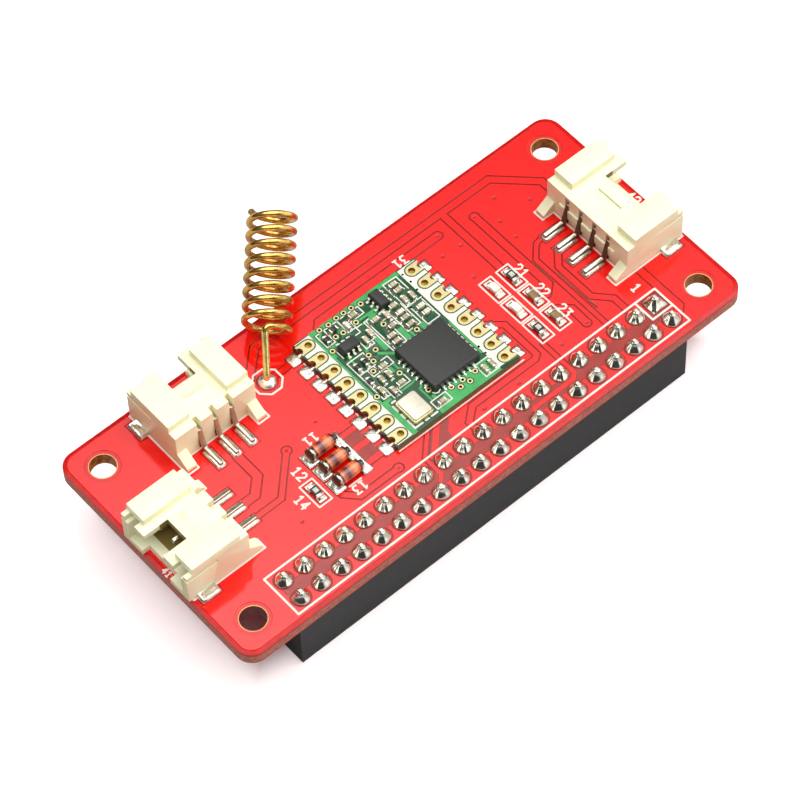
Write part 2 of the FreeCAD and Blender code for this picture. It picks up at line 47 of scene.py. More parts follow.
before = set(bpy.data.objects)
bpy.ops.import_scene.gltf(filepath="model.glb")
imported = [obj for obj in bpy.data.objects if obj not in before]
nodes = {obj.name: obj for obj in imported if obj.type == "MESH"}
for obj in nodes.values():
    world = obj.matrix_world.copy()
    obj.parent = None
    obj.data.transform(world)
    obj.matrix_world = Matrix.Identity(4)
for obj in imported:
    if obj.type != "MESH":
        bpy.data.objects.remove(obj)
cad_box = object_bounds()
rng = random.Random(7)

board_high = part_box("main_board")[1]
BOARD_TOP = board_high.z / MM
MODULE_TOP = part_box("radio_board")[1].z / MM
MODULE_LOW, MODULE_HIGH = [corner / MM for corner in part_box("radio_board")]
SIDES = ("right", "left", "top")


def random_phase():
    """Where the small waves in a solder surface start."""
    return rng.uniform(0, 6)


# Shader nodes
def feed(tree, node, inputs):
    """Each input takes a plain value, or another node's output."""
    for key, value in inputs.items():
        if isinstance(value, bpy.types.NodeSocket):
            tree.links.new(value, node.inputs[key])
        else:
            node.inputs[key].default_value = value


def shader_node(tree, kind, inputs, **settings):
    made = tree.nodes.new("ShaderNode" + kind)
    for name, value in settings.items():
        setattr(made, name, value)
    feed(tree, made, inputs)
    return made


def math_of(tree, operation, *values):
    return shader_node(tree, "Math", dict(enumerate(values)), operation=operation).outputs["Value"]


# Finishes: every one drifts a little in colour and roughness, and has a fine relief
def linear(colour):
    parts = [c / 255.0 for c in colour]
    return tuple(c / 12.92 if c <= 0.04045 else ((c + 0.055) / 1.055) ** 2.4 for c in parts) + (1.0,)


def tinted(colour, factor):
    return tuple(max(0.0, min(255.0, c * factor)) for c in colour)


def finish(name, colour, rough, metal, vary, grain, relief, rough_vary=0.06, second=None, ior=1.5, coat=0.0,
           soft=0.0):
    """A finish in one colour that drifts by vary, with grain and relief in millimetres."""
    material = bpy.data.materials.new(name)
    material.use_nodes = True
    tree = material.node_tree
    place = tree.nodes.new("ShaderNodeTexCoord").outputs["Object"]
    broad = shader_node(tree, "TexNoise", {"Scale": 1.0 / (grain * MM), "Detail": 4.0, "Vector": place})
    fine = shader_node(tree, "TexNoise", {"Scale": 3.5 / (grain * MM), "Detail": 3.0, "Vector": place})
    ramp = shader_node(tree, "ValToRGB", {"Fac": broad.outputs["Fac"]})
    low, high = ramp.color_ramp.elements
    low.position = 0.3
    high.position = 0.7
    low.color = linear(tinted(colour, 1 - vary))
    high.color = linear(second or tinted(colour, 1 + vary))
    spread = shader_node(tree, "MapRange", {
        "Value": broad.outputs["Fac"], "To Min": max(0.02, rough - rough_vary), "To Max": rough + rough_vary})
    bump = shader_node(tree, "Bump", {
        "Height": fine.outputs["Fac"], "Distance": relief * MM, "Strength": 0.6})
    feed(tree, tree.nodes["Principled BSDF"], {
        "Base Color": ramp.outputs["Color"], "Roughness": spread.outputs["Result"],
        "Normal": bump.outputs["Normal"], "Metallic": metal, "IOR": ior, "Coat Weight": coat,
        "Coat Roughness": 0.08, "Subsurface Weight": soft, "Subsurface Scale": 0.0006})
    return material


# Colour, roughness, metal, drift of the colour, grain and relief
FINISHES = {
    "mask_red": ((236, 14, 8), 0.1, 0.0, 0.03, 4.0, 0.004),
    "mask_edge": ((192, 20, 16), 0.3, 0.0, 0.08, 0.8, 0.01),
    "mask_bare": ((150, 38, 28), 0.12, 0.0, 0.07, 1.5, 0.006),
    "mask_line": ((132, 8, 6), 0.14, 0.0, 0.06, 0.8, 0.006),
    "mask_ring": ((202, 24, 20), 0.16, 0.0, 0.05, 0.8, 0.006),
    # Painted contact shade round the foot of each header joint
    "painted_contact_shade_brown": ((120, 34, 20), 0.25, 0.0, 0.2, 0.4, 0.01),
    "mask_via": ((176, 16, 12), 0.2, 0.0, 0.1, 0.3, 0.006),
    "laminate": ((174, 88, 70), 0.55, 0.0, 0.14, 0.3, 0.03),
    "hole_wall": ((126, 64, 14), 0.5, 0.0, 0.2, 0.5, 0.03),
    "hole_shaded": ((84, 28, 29), 0.6, 0.0, 0.2, 0.5, 0.03),
    "hole_rim": ((232, 158, 98), 0.4, 0.3, 0.12, 0.3, 0.01),
    "ink": ((224, 221, 210), 0.5, 0.0, 0.02, 0.25, 0.01),
    "solder_tin": ((222, 219, 208), 0.13, 1.0, 0.06, 0.5, 0.008),
    "pad_tin": ((214, 211, 198), 0.2, 0.88, 0.16, 0.22, 0.016),
    "land_tin": ((236, 233, 222), 0.24, 0.9, 0.1, 0.3, 0.022),
    "tin_plate": ((216, 211, 196), 0.22, 1.0, 0.05, 0.4, 0.006),
    "pin_tin": ((190, 183, 168), 0.24, 1.0, 0.06, 0.5, 0.006),
    # The next two are painted light and shade on the pins' slanted legs behind the shells
    "pin_painted_light": ((176, 156, 128), 0.22, 0.6, 0.1, 0.5, 0.006),
    "pin_shade": ((92, 74, 54), 0.3, 0.4, 0.1, 0.5, 0.006),
    "cap_dark": ((84, 52, 34), 0.3, 0.5, 0.25, 0.25, 0.01),
    "brass": ((218, 170, 92), 0.18, 0.95, 0.18, 0.9, 0.014),
    "brass_end": ((116, 92, 52), 0.5, 0.5, 0.2, 0.3, 0.02),
    "brass_painted_lit_stalk": ((250, 220, 136), 0.2, 0.82, 0.14, 0.5, 0.012),
    "ivory": ((248, 245, 206), 0.42, 0.0, 0.012, 1.2, 0.006),
    # The next two are painted shade on the connectors' ivory: on the side toward -x, warmed as a painted
    # reflection of the red board, and deep in the hollows
    "ivory_painted_side_shade": ((234, 219, 172), 0.42, 0.0, 0.012, 1.2, 0.006),
    "ivory_painted_deep_shade": ((140, 118, 56), 0.5, 0.0, 0.04, 1.2, 0.006),
    "black_plastic": ((25, 25, 27), 0.42, 0.0, 0.1, 0.7, 0.01),
    "chip_black": ((42, 42, 39), 0.5, 0.0, 0.1, 0.2, 0.008),
    "crystal_lid_metal": ((222, 216, 196), 0.4, 0.25, 0.03, 0.6, 0.01),
    "ceramic_tan": ((134, 106, 66), 0.3, 0.0, 0.14, 0.3, 0.01),
    "ceramic_grey": ((176, 166, 134), 0.3, 0.0, 0.14, 0.9, 0.01),
    "ceramic_cream": ((222, 212, 188), 0.3, 0.0, 0.08, 0.3, 0.01),
    "resistor_black": ((40, 38, 38), 0.25, 0.0, 0.12, 0.3, 0.01),
    "resistor_grey": ((186, 190, 174), 0.3, 0.0, 0.1, 0.3, 0.01),
    "light_white": ((232, 230, 214), 0.4, 0.0, 0.03, 0.3, 0.01),
    "lens_clear": ((250, 246, 220), 0.12, 0.0, 0.03, 0.4, 0.002),
    "mask_green": ((52, 158, 80), 0.14, 0.0, 0.08, 0.9, 0.006),
    "green_bare": ((8, 74, 38), 0.16, 0.0, 0.1, 0.9, 0.006),
    "gold_plate": ((204, 190, 140), 0.32, 0.9, 0.04, 0.4, 0.006),
    # Gold of the plated bores, painted darker as shade in the hollows
    "bore_gold_painted_shade": ((140, 98, 40), 0.4, 0.7, 0.3, 0.2, 0.01),
    "plug_gold": ((170, 142, 52), 0.4, 0.5, 0.25, 0.18, 0.01),
    # Painted shade: black for the via holes drawn flat on the radio board
    "via_dark": ((5, 4, 3), 0.9, 0.0, 0.2, 0.2, 0.01),
    # Painted shade for the radio board's edge face toward -x
    "module_edge_painted_shade": ((58, 38, 22), 0.45, 0.0, 0.25, 0.2, 0.04),
    "module_laminate": ((34, 38, 14), 0.5, 0.0, 0.25, 0.13, 0.04),
}
# What some finishes have beside that: how far the roughness drifts, a second colour, and so on
EXTRAS = {
    "rough_vary": {"mask_red": 0.02, "mask_bare": 0.03, "mask_line": 0.03, "mask_ring": 0.03,
                   "mask_green": 0.03, "green_bare": 0.03, "pad_tin": 0.1, "land_tin": 0.1},
    "second": {"laminate": (204, 122, 98), "hole_wall": (216, 134, 36), "hole_shaded": (132, 46, 44),
               "ceramic_grey": (206, 190, 158), "module_laminate": (122, 124, 60)},
    "ior": {"mask_edge": 1.35, "via_dark": 1.1},
    "soft": {"ivory": 0.06, "ivory_painted_side_shade": 0.06, "lens_clear": 0.3},
}
looks = {name: finish(name, *row, **{key: some[name] for key, some in EXTRAS.items() if name in some})
         for name, row in FINISHES.items()}

# The CAD nodes that show as they are
for look, names in (
    ("tin_plate", ("header_contacts", "radio_chip_leads", "switch_chip_leads", "light_ends",
                   "small_part_lands")),
    ("light_white", ("light_bases",)),
    ("brass", ("antenna_wire",)),
):
    for name in names:
        nodes[name].data.materials.clear()
        nodes[name].data.materials.append(looks[look])


# Mesh helpers
def welded(node):
    mesh = bmesh.new()
    mesh.from_mesh(nodes[node].data)
    bmesh.ops.remove_doubles(mesh, verts=mesh.verts, dist=1e-7)
    return mesh


def solids(name):
    """Corners, in millimetres, of each separate solid of a CAD node."""
    mesh = welded(name)
    mesh.verts.ensure_lookup_table()
    seen = set()
    found = []
    for start in mesh.verts:
        if start.index in seen:
            continue
        seen.add(start.index)
        pile = [start]
        group = []
        while pile:
            vertex = pile.pop()
            group.append(vertex.co / MM)
            for edge in vertex.link_edges:
                other = edge.other_vert(vertex)
                if other.index not in seen:
                    seen.add(other.index)
                    pile.append(other)
        low = Vector([min(p[k] for p in group) for k in range(3)])
        high = Vector([max(p[k] for p in group) for k in range(3)])
        found.append((low, high))
    mesh.free()
    return found


def pairs(line):
    """Each point of a closed outline with the next."""
    return zip(line, line[1:] + line[:1])


def link_piece(name, data, replaced):
    made = bpy.data.objects.new(name, data)
    bpy.context.scene.collection.objects.link(made)
    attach(made, "root")
    if replaced:
        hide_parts(*replaced)
    return made


def piece(name, verts, faces, face_looks, slot, replaced=(), smooth=False):
    """A new mesh piece from points in millimetres, in one finish or in one for each face."""
    mesh = bpy.data.meshes.new(name)
    mesh.from_pydata([tuple(c * MM for c in v) for v in verts], [], faces)
    used = [face_looks] if isinstance(face_looks, str) else list(dict.fromkeys(face_looks))
    for look in used:
        mesh.materials.append(looks[look])
    if len(used) > 1:
        mesh.polygons.foreach_set("material_index", [used.index(look) for look in face_looks])
    mesh.polygons.foreach_set("use_smooth", [smooth] * len(mesh.polygons))
    mesh.validate()
    mesh.update()
    link_piece(name, mesh, replaced)


def rounded_copy(name, node, width, look, segments=2):
    """A copy of a CAD node with its sharp edges rounded."""
    mesh = welded(node)
    bmesh.ops.dissolve_limit(mesh, angle_limit=math.radians(1), verts=mesh.verts, edges=mesh.edges)
    bmesh.ops.recalc_face_normals(mesh, faces=mesh.faces)
    data = bpy.data.meshes.new(name)
    mesh.to_mesh(data)
    mesh.free()
    data.materials.clear()
    data.materials.append(looks[look])
    data.polygons.foreach_set("use_smooth", [True] * len(data.polygons))
    made = link_piece(name, data, (node,))
    bevel = made.modifiers.new("edges", "BEVEL")
    bevel.width = width * MM
    bevel.segments = segments
    bevel.limit_method = "ANGLE"
    bevel.angle_limit = math.radians(35)
    bevel.harden_normals = True
    bevel.miter_outer = "MITER_ARC"
    return made


def circle(x, y, radius, count=24):
    return [(x + radius * math.cos(2 * math.pi * k / count), y + radius * math.sin(2 * math.pi * k / count))
            for k in range(count)]


def rectangle(x0, y0, x1, y1):
    return [(x0, y0), (x1, y0), (x1, y1), (x0, y1)]


def stroke(points, half, arc=6):
    """Outline of a line drawn with a round pen of this half width."""
    line = [Vector(p) for p in points]
    steps = [(b - a).normalized() for a, b in zip(line, line[1:])]
    sides = [Vector((-d.y, d.x)) for d in steps]
    left = [line[0] + sides[0] * half]
    right = [line[0] - sides[0] * half]
    for k in range(1, len(line) - 1):
        joint = (sides[k - 1] + sides[k]) * (half / (1 + sides[k - 1].dot(sides[k])))
        left.append(line[k] + joint)
        right.append(line[k] - joint)
    left.append(line[-1] + sides[-1] * half)
    right.append(line[-1] - sides[-1] * half)
    end_cap = []
    start_cap = []
    for k in range(1, arc):
        turn = math.pi * k / arc
        end_cap.append(line[-1] + sides[-1] * half * math.cos(turn) + steps[-1] * half * math.sin(turn))
        start_cap.append(line[0] - sides[0] * half * math.cos(turn) - steps[0] * half * math.sin(turn))
    outline = left + end_cap + right[::-1] + start_cap
    return [(p.x, p.y) for p in outline]


class PlanarMap:
    """Overlapping outlines in one plane, cut into triangles that know which outlines hold them."""

    def __init__(self):
        self.points = []
        self.outlines = []
        self.kinds = []

    def add(self, kind, outline):
        area = sum(a[0] * b[1] - b[0] * a[1] for a, b in pairs(outline))
        first = len(self.points)
        self.points += [Vector(p) for p in (outline if area > 0 else outline[::-1])]
        self.outlines.append(list(range(first, len(self.points))))
        self.kinds.append(kind)

    def cut(self):
        points, _, faces, _, _, owners = delaunay_2d_cdt(self.points, [], self.outlines, 0, 1e-4, True)
        held = [{self.kinds[k] for k in owner} for owner in owners]
        return [(p.x, p.y) for p in points], faces, held


def plate_sheet(plan, level, relief, order):
    """A relief sheet. The first kind of order that holds a face gives its finish and whether it is raised."""
    points, faces, held = plan.cut()
    kept = []
    face_looks = []
    raised = set()
    for face, kinds in zip(faces, held):
        if "board" not in kinds or "hole" in kinds:
            continue
        look, is_raised = next(entry[1:] for entry in order if entry[0] in kinds)
        kept.append(list(face))
        face_looks.append(look)
        if is_raised:
            raised.update(face)
    verts = [(x, y, level if k in raised else level - relief) for k, (x, y) in enumerate(points)]
    return verts, kept, face_looks


def open_edges(faces):
    """The edges that only one face uses, as that face runs along them."""
    edges = {edge: True for face in faces for edge in pairs(face)}
    return [(a, b) for a, b in edges if (b, a) not in edges]


def flat_layer(name, outlines, low, high, look, slot):
    """A thin even layer, the union of outlines, with walls down to low."""
    plan = PlanarMap()
    for outline in outlines:
        plan.add("layer", outline)
    points, faces, held = plan.cut()
    kept = [list(f) for f, kinds in zip(faces, held) if kinds]
    verts = [(x, y, z) for z in (high, low) for x, y in points]
    count = len(points)
    walls = [[a, a + count, b + count, b] for a, b in open_edges(kept)]
    piece(name, verts, kept + walls, look, slot)


def ring_sides(rings, count, first=0):
    """The faces between rings of points that follow each other."""
    faces = []
    for ring in range(rings - 1):
        start = first + ring * count
        for k in range(count):
            a = start + k
            b = start + (k + 1) % count
            faces.append((a, b, b + count, a + count))
    return faces


def lathe(profile, x, y, count, wobble, phase, square=0.0):
    """Rings of radius and level round an upright axis, squarer toward the open foot, closed on top."""
    verts = []
    for ring, (radius, level) in enumerate(profile):
        foot = square * (1 - ring / (len(profile) - 1))
        for k in range(count):
            turn = 2 * math.pi * k / count
            swell = 1 + wobble * math.sin(3 * turn + phase) + wobble * 0.6 * math.sin(5 * turn + 2.3 * phase)
            swell *= 1 + foot * (1 / max(abs(math.cos(turn)), abs(math.sin(turn))) - 1)
            verts.append((x + radius * swell * math.cos(turn), y + radius * swell * math.sin(turn), level))
    top = tuple((len(profile) - 1) * count + k for k in range(count))
    return verts, ring_sides(len(profile), count) + [top]


def join(parts):
    """One list of points and faces from many."""
    verts = []
    faces = []
    for some_verts, some_faces in parts:
        first = len(verts)
        verts += some_verts
        faces += [tuple(first + k for k in face) for face in some_faces]
    return verts, faces


# Main board: copper under red mask, with grooves at the copper edges
module_rows = sorted({round((low.y + high.y) / 2, 3) for low, high in solids("radio_board_lands")})
GROOVE = 0.17
SLOPE = 0.045
COPPER_RELIEF = 0.04
CORNER = 1.9
CORNER_STEPS = 8
EDGE_DROP = 0.12
MOUNT_RADIUS = 1.375
MASK_RING = 1.85
MOUNT_STEPS = 40
RIM_WIDTH = 0.09
TAIL_RADIUS = 0.5
TAIL_STEPS = 16
JOINT_PAD = 0.98
JOINT_GROOVE = 0.14
CONTACT_SHADE_RADIUS = 1.035
CONTACT_SHADE_HALF = 1.06
ANTENNA_PAD = 0.97
VIA_PAD = 0.45
LAND_GROWTH = 0.02
EDGE_STEP = 0.8
EDGE_WANDER = 0.1
EDGE_BAND_LOW = 0.13
EDGE_BAND_DROP = 0.42

board_tracks = [
    (0.44, [(-18.49, 3.6), (-18.49, 0.55), (-20.1, -1.02), (-21.5, -1.02)]),
    (0.27, [(-21.5, -3.0), (-18.4, -3.0), (-14.6, 0.8)]),
    (0.30, [(-10.7, 8.4), (-7.7, 8.5), (-6.0, 8.6)]),
    (0.27, [(-10.0, -1.45), (-6.5, -1.45)]),
    (0.30, [(-10.0, -3.45), (-6.5, -3.45)]),
    (0.33, [(-10.0, -5.45), (-6.5, -5.45)]),
    (0.30, [(-13.7, -5.4), (-13.7, -6.6), (-12.5, -7.9), (-7.65, -7.9)]),
    (0.375, [(-12.9, 8.7), (-11.4, 10.2), (-9.0, 12.45), (22.1, 12.45), (26.0, 8.6), (26.0, 6.5)]),
    (0.43, [(13.55, 10.55), (-2.2, 10.5), (-2.8, 9.9)]),
    (0.375, [(15.63, 12.07), (15.63, 2.4)]),
    (0.40, [(17.9, 9.85), (17.9, -1.3), (16.9, -2.2)]),
    (0.22, [(22.4, 3.3), (21.4, 3.3), (20.4, 3.2), (18.95, 1.7), (18.95, -9.6)]),
    (0.30, [(22.4, 0.9), (21.2, 0.85), (20.05, -0.5), (20.05, -5.3), (21.6, -7.05), (21.6, -9.6)]),
    (0.40, [(25.85, -6.0), (25.85, -12.0), (25.0, -12.77)]),
    (0.30, [(9.8, -0.8), (11.3, -2.15), (11.3, -6.9), (10.8, -7.25), (2.5, -7.25), (1.0, -8.5), (1.0, -9.6)]),
    (0.40, [(17.55, -7.4), (17.6, -5.2), (16.5, -4.2)]),
    (0.22, [(12.6, -6.4), (12.6, -11.0), (12.1, -11.5), (6.9, -11.5), (6.4, -12.1)]),
    (0.20, [(-2.4, -6.2), (-5.0, -8.8), (-5.0, -11.2), (-5.6, -11.8)]),
]
via_rings = [(-14.5, 0.9), (-7.63, -7.9), (13.55, 10.55), (17.9, 9.85), (17.55, -7.4)]
small_vias = [
    (-10.2, 1.67), (-18.6, -6.35), (21.0, 10.3), (19.5, 7.7), (19.4, 5.2), (23.6, 7.7), (12.25, 8.3),
    (14.5, 8.1), (12.9, 4.25), (13.95, -7.7), (7.7, -8.3), (3.15, -8.3),
]
bare_zones = [
    rectangle(-9.45, -3.15, -7.6, -1.72), rectangle(-9.45, -5.12, -7.6, -3.75),
    rectangle(18.1, -0.8, 18.73, 1.7), rectangle(19.4, -6.8, 19.75, -1.0),
    rectangle(-25.0, -12.28, 24.4, -10.72),
    [(-3.3, -8.75), (-1.25, -8.75), (-1.25, -7.95), (0.2, -6.5), (-1.1, -6.5)],
    [(-4.6, -8.75), (-4.1, -8.75), (-1.9, -6.5), (-2.3, -6.5)],
]
mount_holes = [(sx * 29.0, sy * 11.5) for sx in (-1, 1) for sy in (-1, 1)]
header_pins = [tuple((low + high) / 2)[:2] for low, high in solids("header_solder")]
square_pin = min(header_pins, key=lambda p: (p[0] - 24.13) ** 2 + (p[1] + 10.23) ** 2)
antenna_low, antenna_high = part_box("antenna_solder")
ANTENNA = ((antenna_low.x + antenna_high.x) / 2 / MM, (antenna_low.y + antenna_high.y) / 2 / MM)

# What the board shows: the kind, its finish and whether it is raised, the strongest first
BOARD_ORDER = (
    ("rim_gold", "hole_rim", False), ("flux", "painted_contact_shade_brown", False), ("via", "mask_via", False),
    ("copper", "mask_red", True), ("zone", "mask_bare", False), ("clear", "mask_line", False),
    ("ring", "mask_ring", False), ("pour", "mask_red", True), ("rim", "mask_ring", False),
    ("board", "mask_edge", True),
)


def at_edge(x, y):
    """Whether a point is on the board's outer edge."""
    past_x = abs(x) - board_high.x / MM + CORNER
    past_y = abs(y) - board_high.y / MM + CORNER
    if past_x > 0 and past_y > 0:
        return math.hypot(past_x, past_y) > CORNER - 0.001
    return max(past_x, past_y) > CORNER - 0.001


def board_outline(inset=0.0):
    x = board_high.x / MM - inset
    y = board_high.y / MM - inset
    radius = CORNER - inset
    outline = []
    for sx, sy, start in ((1, 1, 0), (-1, 1, 90), (-1, -1, 180), (1, -1, 270)):
        for k in range(CORNER_STEPS + 1):
            turn = math.radians(start + 90 * k / CORNER_STEPS)
            outline.append((sx * (x - radius) + radius * math.cos(turn),
                            sy * (y - radius) + radius * math.sin(turn)))
    return outline


def grooved(plan, outline_at, half, groove=GROOVE, kind="clear"):
    """A copper outline with a sloped groove round it."""
    plan.add("copper", outline_at(half))
    plan.add("line", outline_at(half + SLOPE))
    if groove > 2 * SLOPE:
        plan.add("line", outline_at(half + groove - SLOPE))
    plan.add(kind, outline_at(half + groove))


def small_via(plan, x, y, radius=0.24):
    """A covered via: a dip with a sloped side."""
    for kind, share in (("via", 1.0), ("line", 0.55)):
        plan.add(kind, circle(x, y, radius * share, 12))


def board_field(plan):
    """The copper field, its thin edge line and the bare ring round each mounting hole."""
    plan.add("board", board_outline())
    for kind, inset in (("rim", 0.41), ("line", 0.46), ("pour", 0.51)):
        plan.add(kind, board_outline(inset))
    for x, y in mount_holes:
        plan.add("ring", circle(x, y, MASK_RING, MOUNT_STEPS))
        plan.add("line", circle(x, y, MASK_RING - SLOPE, MOUNT_STEPS))


def board_holes(plan):
    for x, y in mount_holes:
        plan.add("hole", circle(x, y, MOUNT_RADIUS, MOUNT_STEPS))
        plan.add("rim_gold", circle(x, y, MOUNT_RADIUS + RIM_WIDTH, MOUNT_STEPS))
    for x, y in header_pins + [ANTENNA]:
        plan.add("hole", circle(x, y, TAIL_RADIUS, TAIL_STEPS))


def land_outline(x0, y0, x1, y1):
    return lambda grow: rectangle(x0 - grow, y0 - grow, x1 + grow, y1 + grow)


def radio_land(low, high):
    """Lowest and highest corner of the solder that shows beside the radio board at one land."""
    middle = (low.y + high.y) / 2
    if low.x > (MODULE_LOW.x + MODULE_HIGH.x) / 2:
        return (MODULE_HIGH.x + 0.04, middle - 0.7), (MODULE_HIGH.x + 0.98, middle + 0.6)
    return (MODULE_LOW.x - 1.3, middle - 0.74), (MODULE_LOW.x - 0.04, middle + 0.7)


def build_board():
    top = PlanarMap()
    board_field(top)
    for half, points in board_tracks:
        grooved(top, lambda grow: stroke(points, grow), half)
    for x, y in via_rings:
        grooved(top, lambda grow: circle(x, y, grow, 20), VIA_PAD)
        small_via(top, x, y, 0.2)
    for x, y in small_vias:
        small_via(top, x, y)
    for zone in bare_zones:
        top.add("zone", zone)
    # Each header pad: copper, its groove, and a ring of painted contact shade round the joint's foot
    for x, y in header_pins:
        if (x, y) == square_pin:
            grooved(top, land_outline(x, y, x, y), JOINT_PAD)
            top.add("flux", rectangle(x - CONTACT_SHADE_HALF, y - CONTACT_SHADE_HALF, x + CONTACT_SHADE_HALF, y + CONTACT_SHADE_HALF))
        else:
            grooved(top, lambda grow: circle(x, y, grow), JOINT_PAD, JOINT_GROOVE, "zone")
            top.add("flux", circle(x, y, CONTACT_SHADE_RADIUS))
    grooved(top, lambda grow: circle(*ANTENNA, grow), ANTENNA_PAD)
    for name in ("right_connector_lands", "left_connector_lands", "top_connector_lands", "small_part_lands"):
        for low, high in solids(name):
            grooved(top, land_outline(low.x, low.y, high.x, high.y), LAND_GROWTH, 2 * SLOPE)
    for low, high in solids("radio_board_lands"):
        (x0, y0), (x1, y1) = radio_land(low, high)
        grooved(top, land_outline(x0, y0, x1, y1), LAND_GROWTH, 2 * SLOPE)
    board_holes(top)
    verts, faces, face_looks = plate_sheet(top, BOARD_TOP, COPPER_RELIEF, BOARD_ORDER)
    verts = [(x, y, BOARD_TOP - EDGE_DROP if at_edge(x, y) else z) for x, y, z in verts]

    under = PlanarMap()
    board_field(under)
    for x, y in via_rings + small_vias:
        small_via(under, x, y, 0.22)
    for points in (
        [(-14.5, 0.9), (-14.5, -3.0), (-17.5, -6.0), (17.55, -6.0), (17.55, -7.4)],
        [(13.55, 10.55), (13.55, 6.0), (17.9, 6.0), (17.9, 9.85)],
    ):
        grooved(under, lambda grow: stroke(points, grow), 0.3)
    board_holes(under)
    low_verts, low_faces, low_looks = plate_sheet(under, BOARD_TOP, COPPER_RELIEF, BOARD_ORDER)
    first = len(verts)
    verts += [(x, y, BOARD_TOP - z) for x, y, z in low_verts]
    faces += [[first + k for k in reversed(face)] for face in low_faces]
    face_looks += low_looks

    # Walls of the holes and the board's rough edge, from the underside up
    walls = []
    for x, y in mount_holes:
        look = "hole_shaded" if x < 0 and y < 0 else "hole_wall"
        outline = circle(x, y, MOUNT_RADIUS, MOUNT_STEPS)[::-1]
        walls.append((outline, (0.0, BOARD_TOP - COPPER_RELIEF), (look,)))
    for x, y in header_pins + [ANTENNA]:
        walls.append((circle(x, y, TAIL_RADIUS, TAIL_STEPS)[::-1], (0.0, BOARD_TOP), ("hole_wall",)))
    edge = []
    for a, b in pairs(board_outline()):
        steps = max(1, round(math.hypot(b[0] - a[0], b[1] - a[1]) / EDGE_STEP))
        edge += [(a[0] + (b[0] - a[0]) * k / steps, a[1] + (b[1] - a[1]) * k / steps) for k in range(steps)]
    edge_levels = (0.0, EDGE_BAND_LOW, BOARD_TOP - EDGE_BAND_DROP, BOARD_TOP - EDGE_DROP)
    walls.append((edge, edge_levels, ("mask_edge", "laminate", "mask_edge")))
    for outline, levels, bands in walls:
        count = len(outline)
        faces += ring_sides(len(levels), count, len(verts))
        for row, level in enumerate(levels):
            wander = EDGE_WANDER if len(levels) > 2 and row == 2 else 0.0
            verts += [(x, y, level + rng.uniform(-wander, wander)) for x, y in outline]
        for look in bands:
            face_looks += [look] * count
    piece("board_plate", verts, faces, face_looks, "board_mask", ("main_board",))


build_board()

# Print on the board: frames, corner marks and plain numbers
DIGITS = {
    "1": [[(0.15, 0.8), (0.5, 1.0), (0.5, 0.0)], [(0.2, 0.0), (0.8, 0.0)]],
    "2": [[(0.05, 0.8), (0.25, 1.0), (0.7, 1.0), (0.9, 0.8), (0.9, 0.6), (0.05, 0.0), (0.9, 0.0)]],
    "3": [[(0.05, 1.0), (0.85, 1.0), (0.45, 0.6), (0.8, 0.5), (0.85, 0.2), (0.6, 0.0), (0.05, 0.05)]],
    "4": [[(0.7, 0.0), (0.7, 1.0), (0.05, 0.3), (0.95, 0.3)]],
}


def digit_strokes(text, x, y, height, degrees, half):
    """Outlines of plain digits centred on x and y."""
    width = height * 0.62
    step = height * 0.85
    turn = math.radians(degrees)
    outlines = []
    for place, digit in enumerate(text):
        offset = (place - (len(text) - 1) / 2) * step - width / 2
        for line in DIGITS[digit]:
            moved = []
            for u, v in line:
                a = offset + u * width
                b = (v - 0.5) * height
                moved.append((x + a * math.cos(turn) - b * math.sin(turn),
                              y + a * math.sin(turn) + b * math.cos(turn)))
            outlines += pen(moved, half)
    return outlines


def pen(points, half, closed=False):
    """Separate round-ended strokes for each run of a line, so sharp corners stay whole."""
    line = list(points) + ([points[0]] if closed else [])
    return [stroke([a, b], half, 4) for a, b in zip(line, line[1:])]


def box_line(x0, y0, x1, y1, half=0.085):
    return pen(rectangle(x0, y0, x1, y1), half, True)


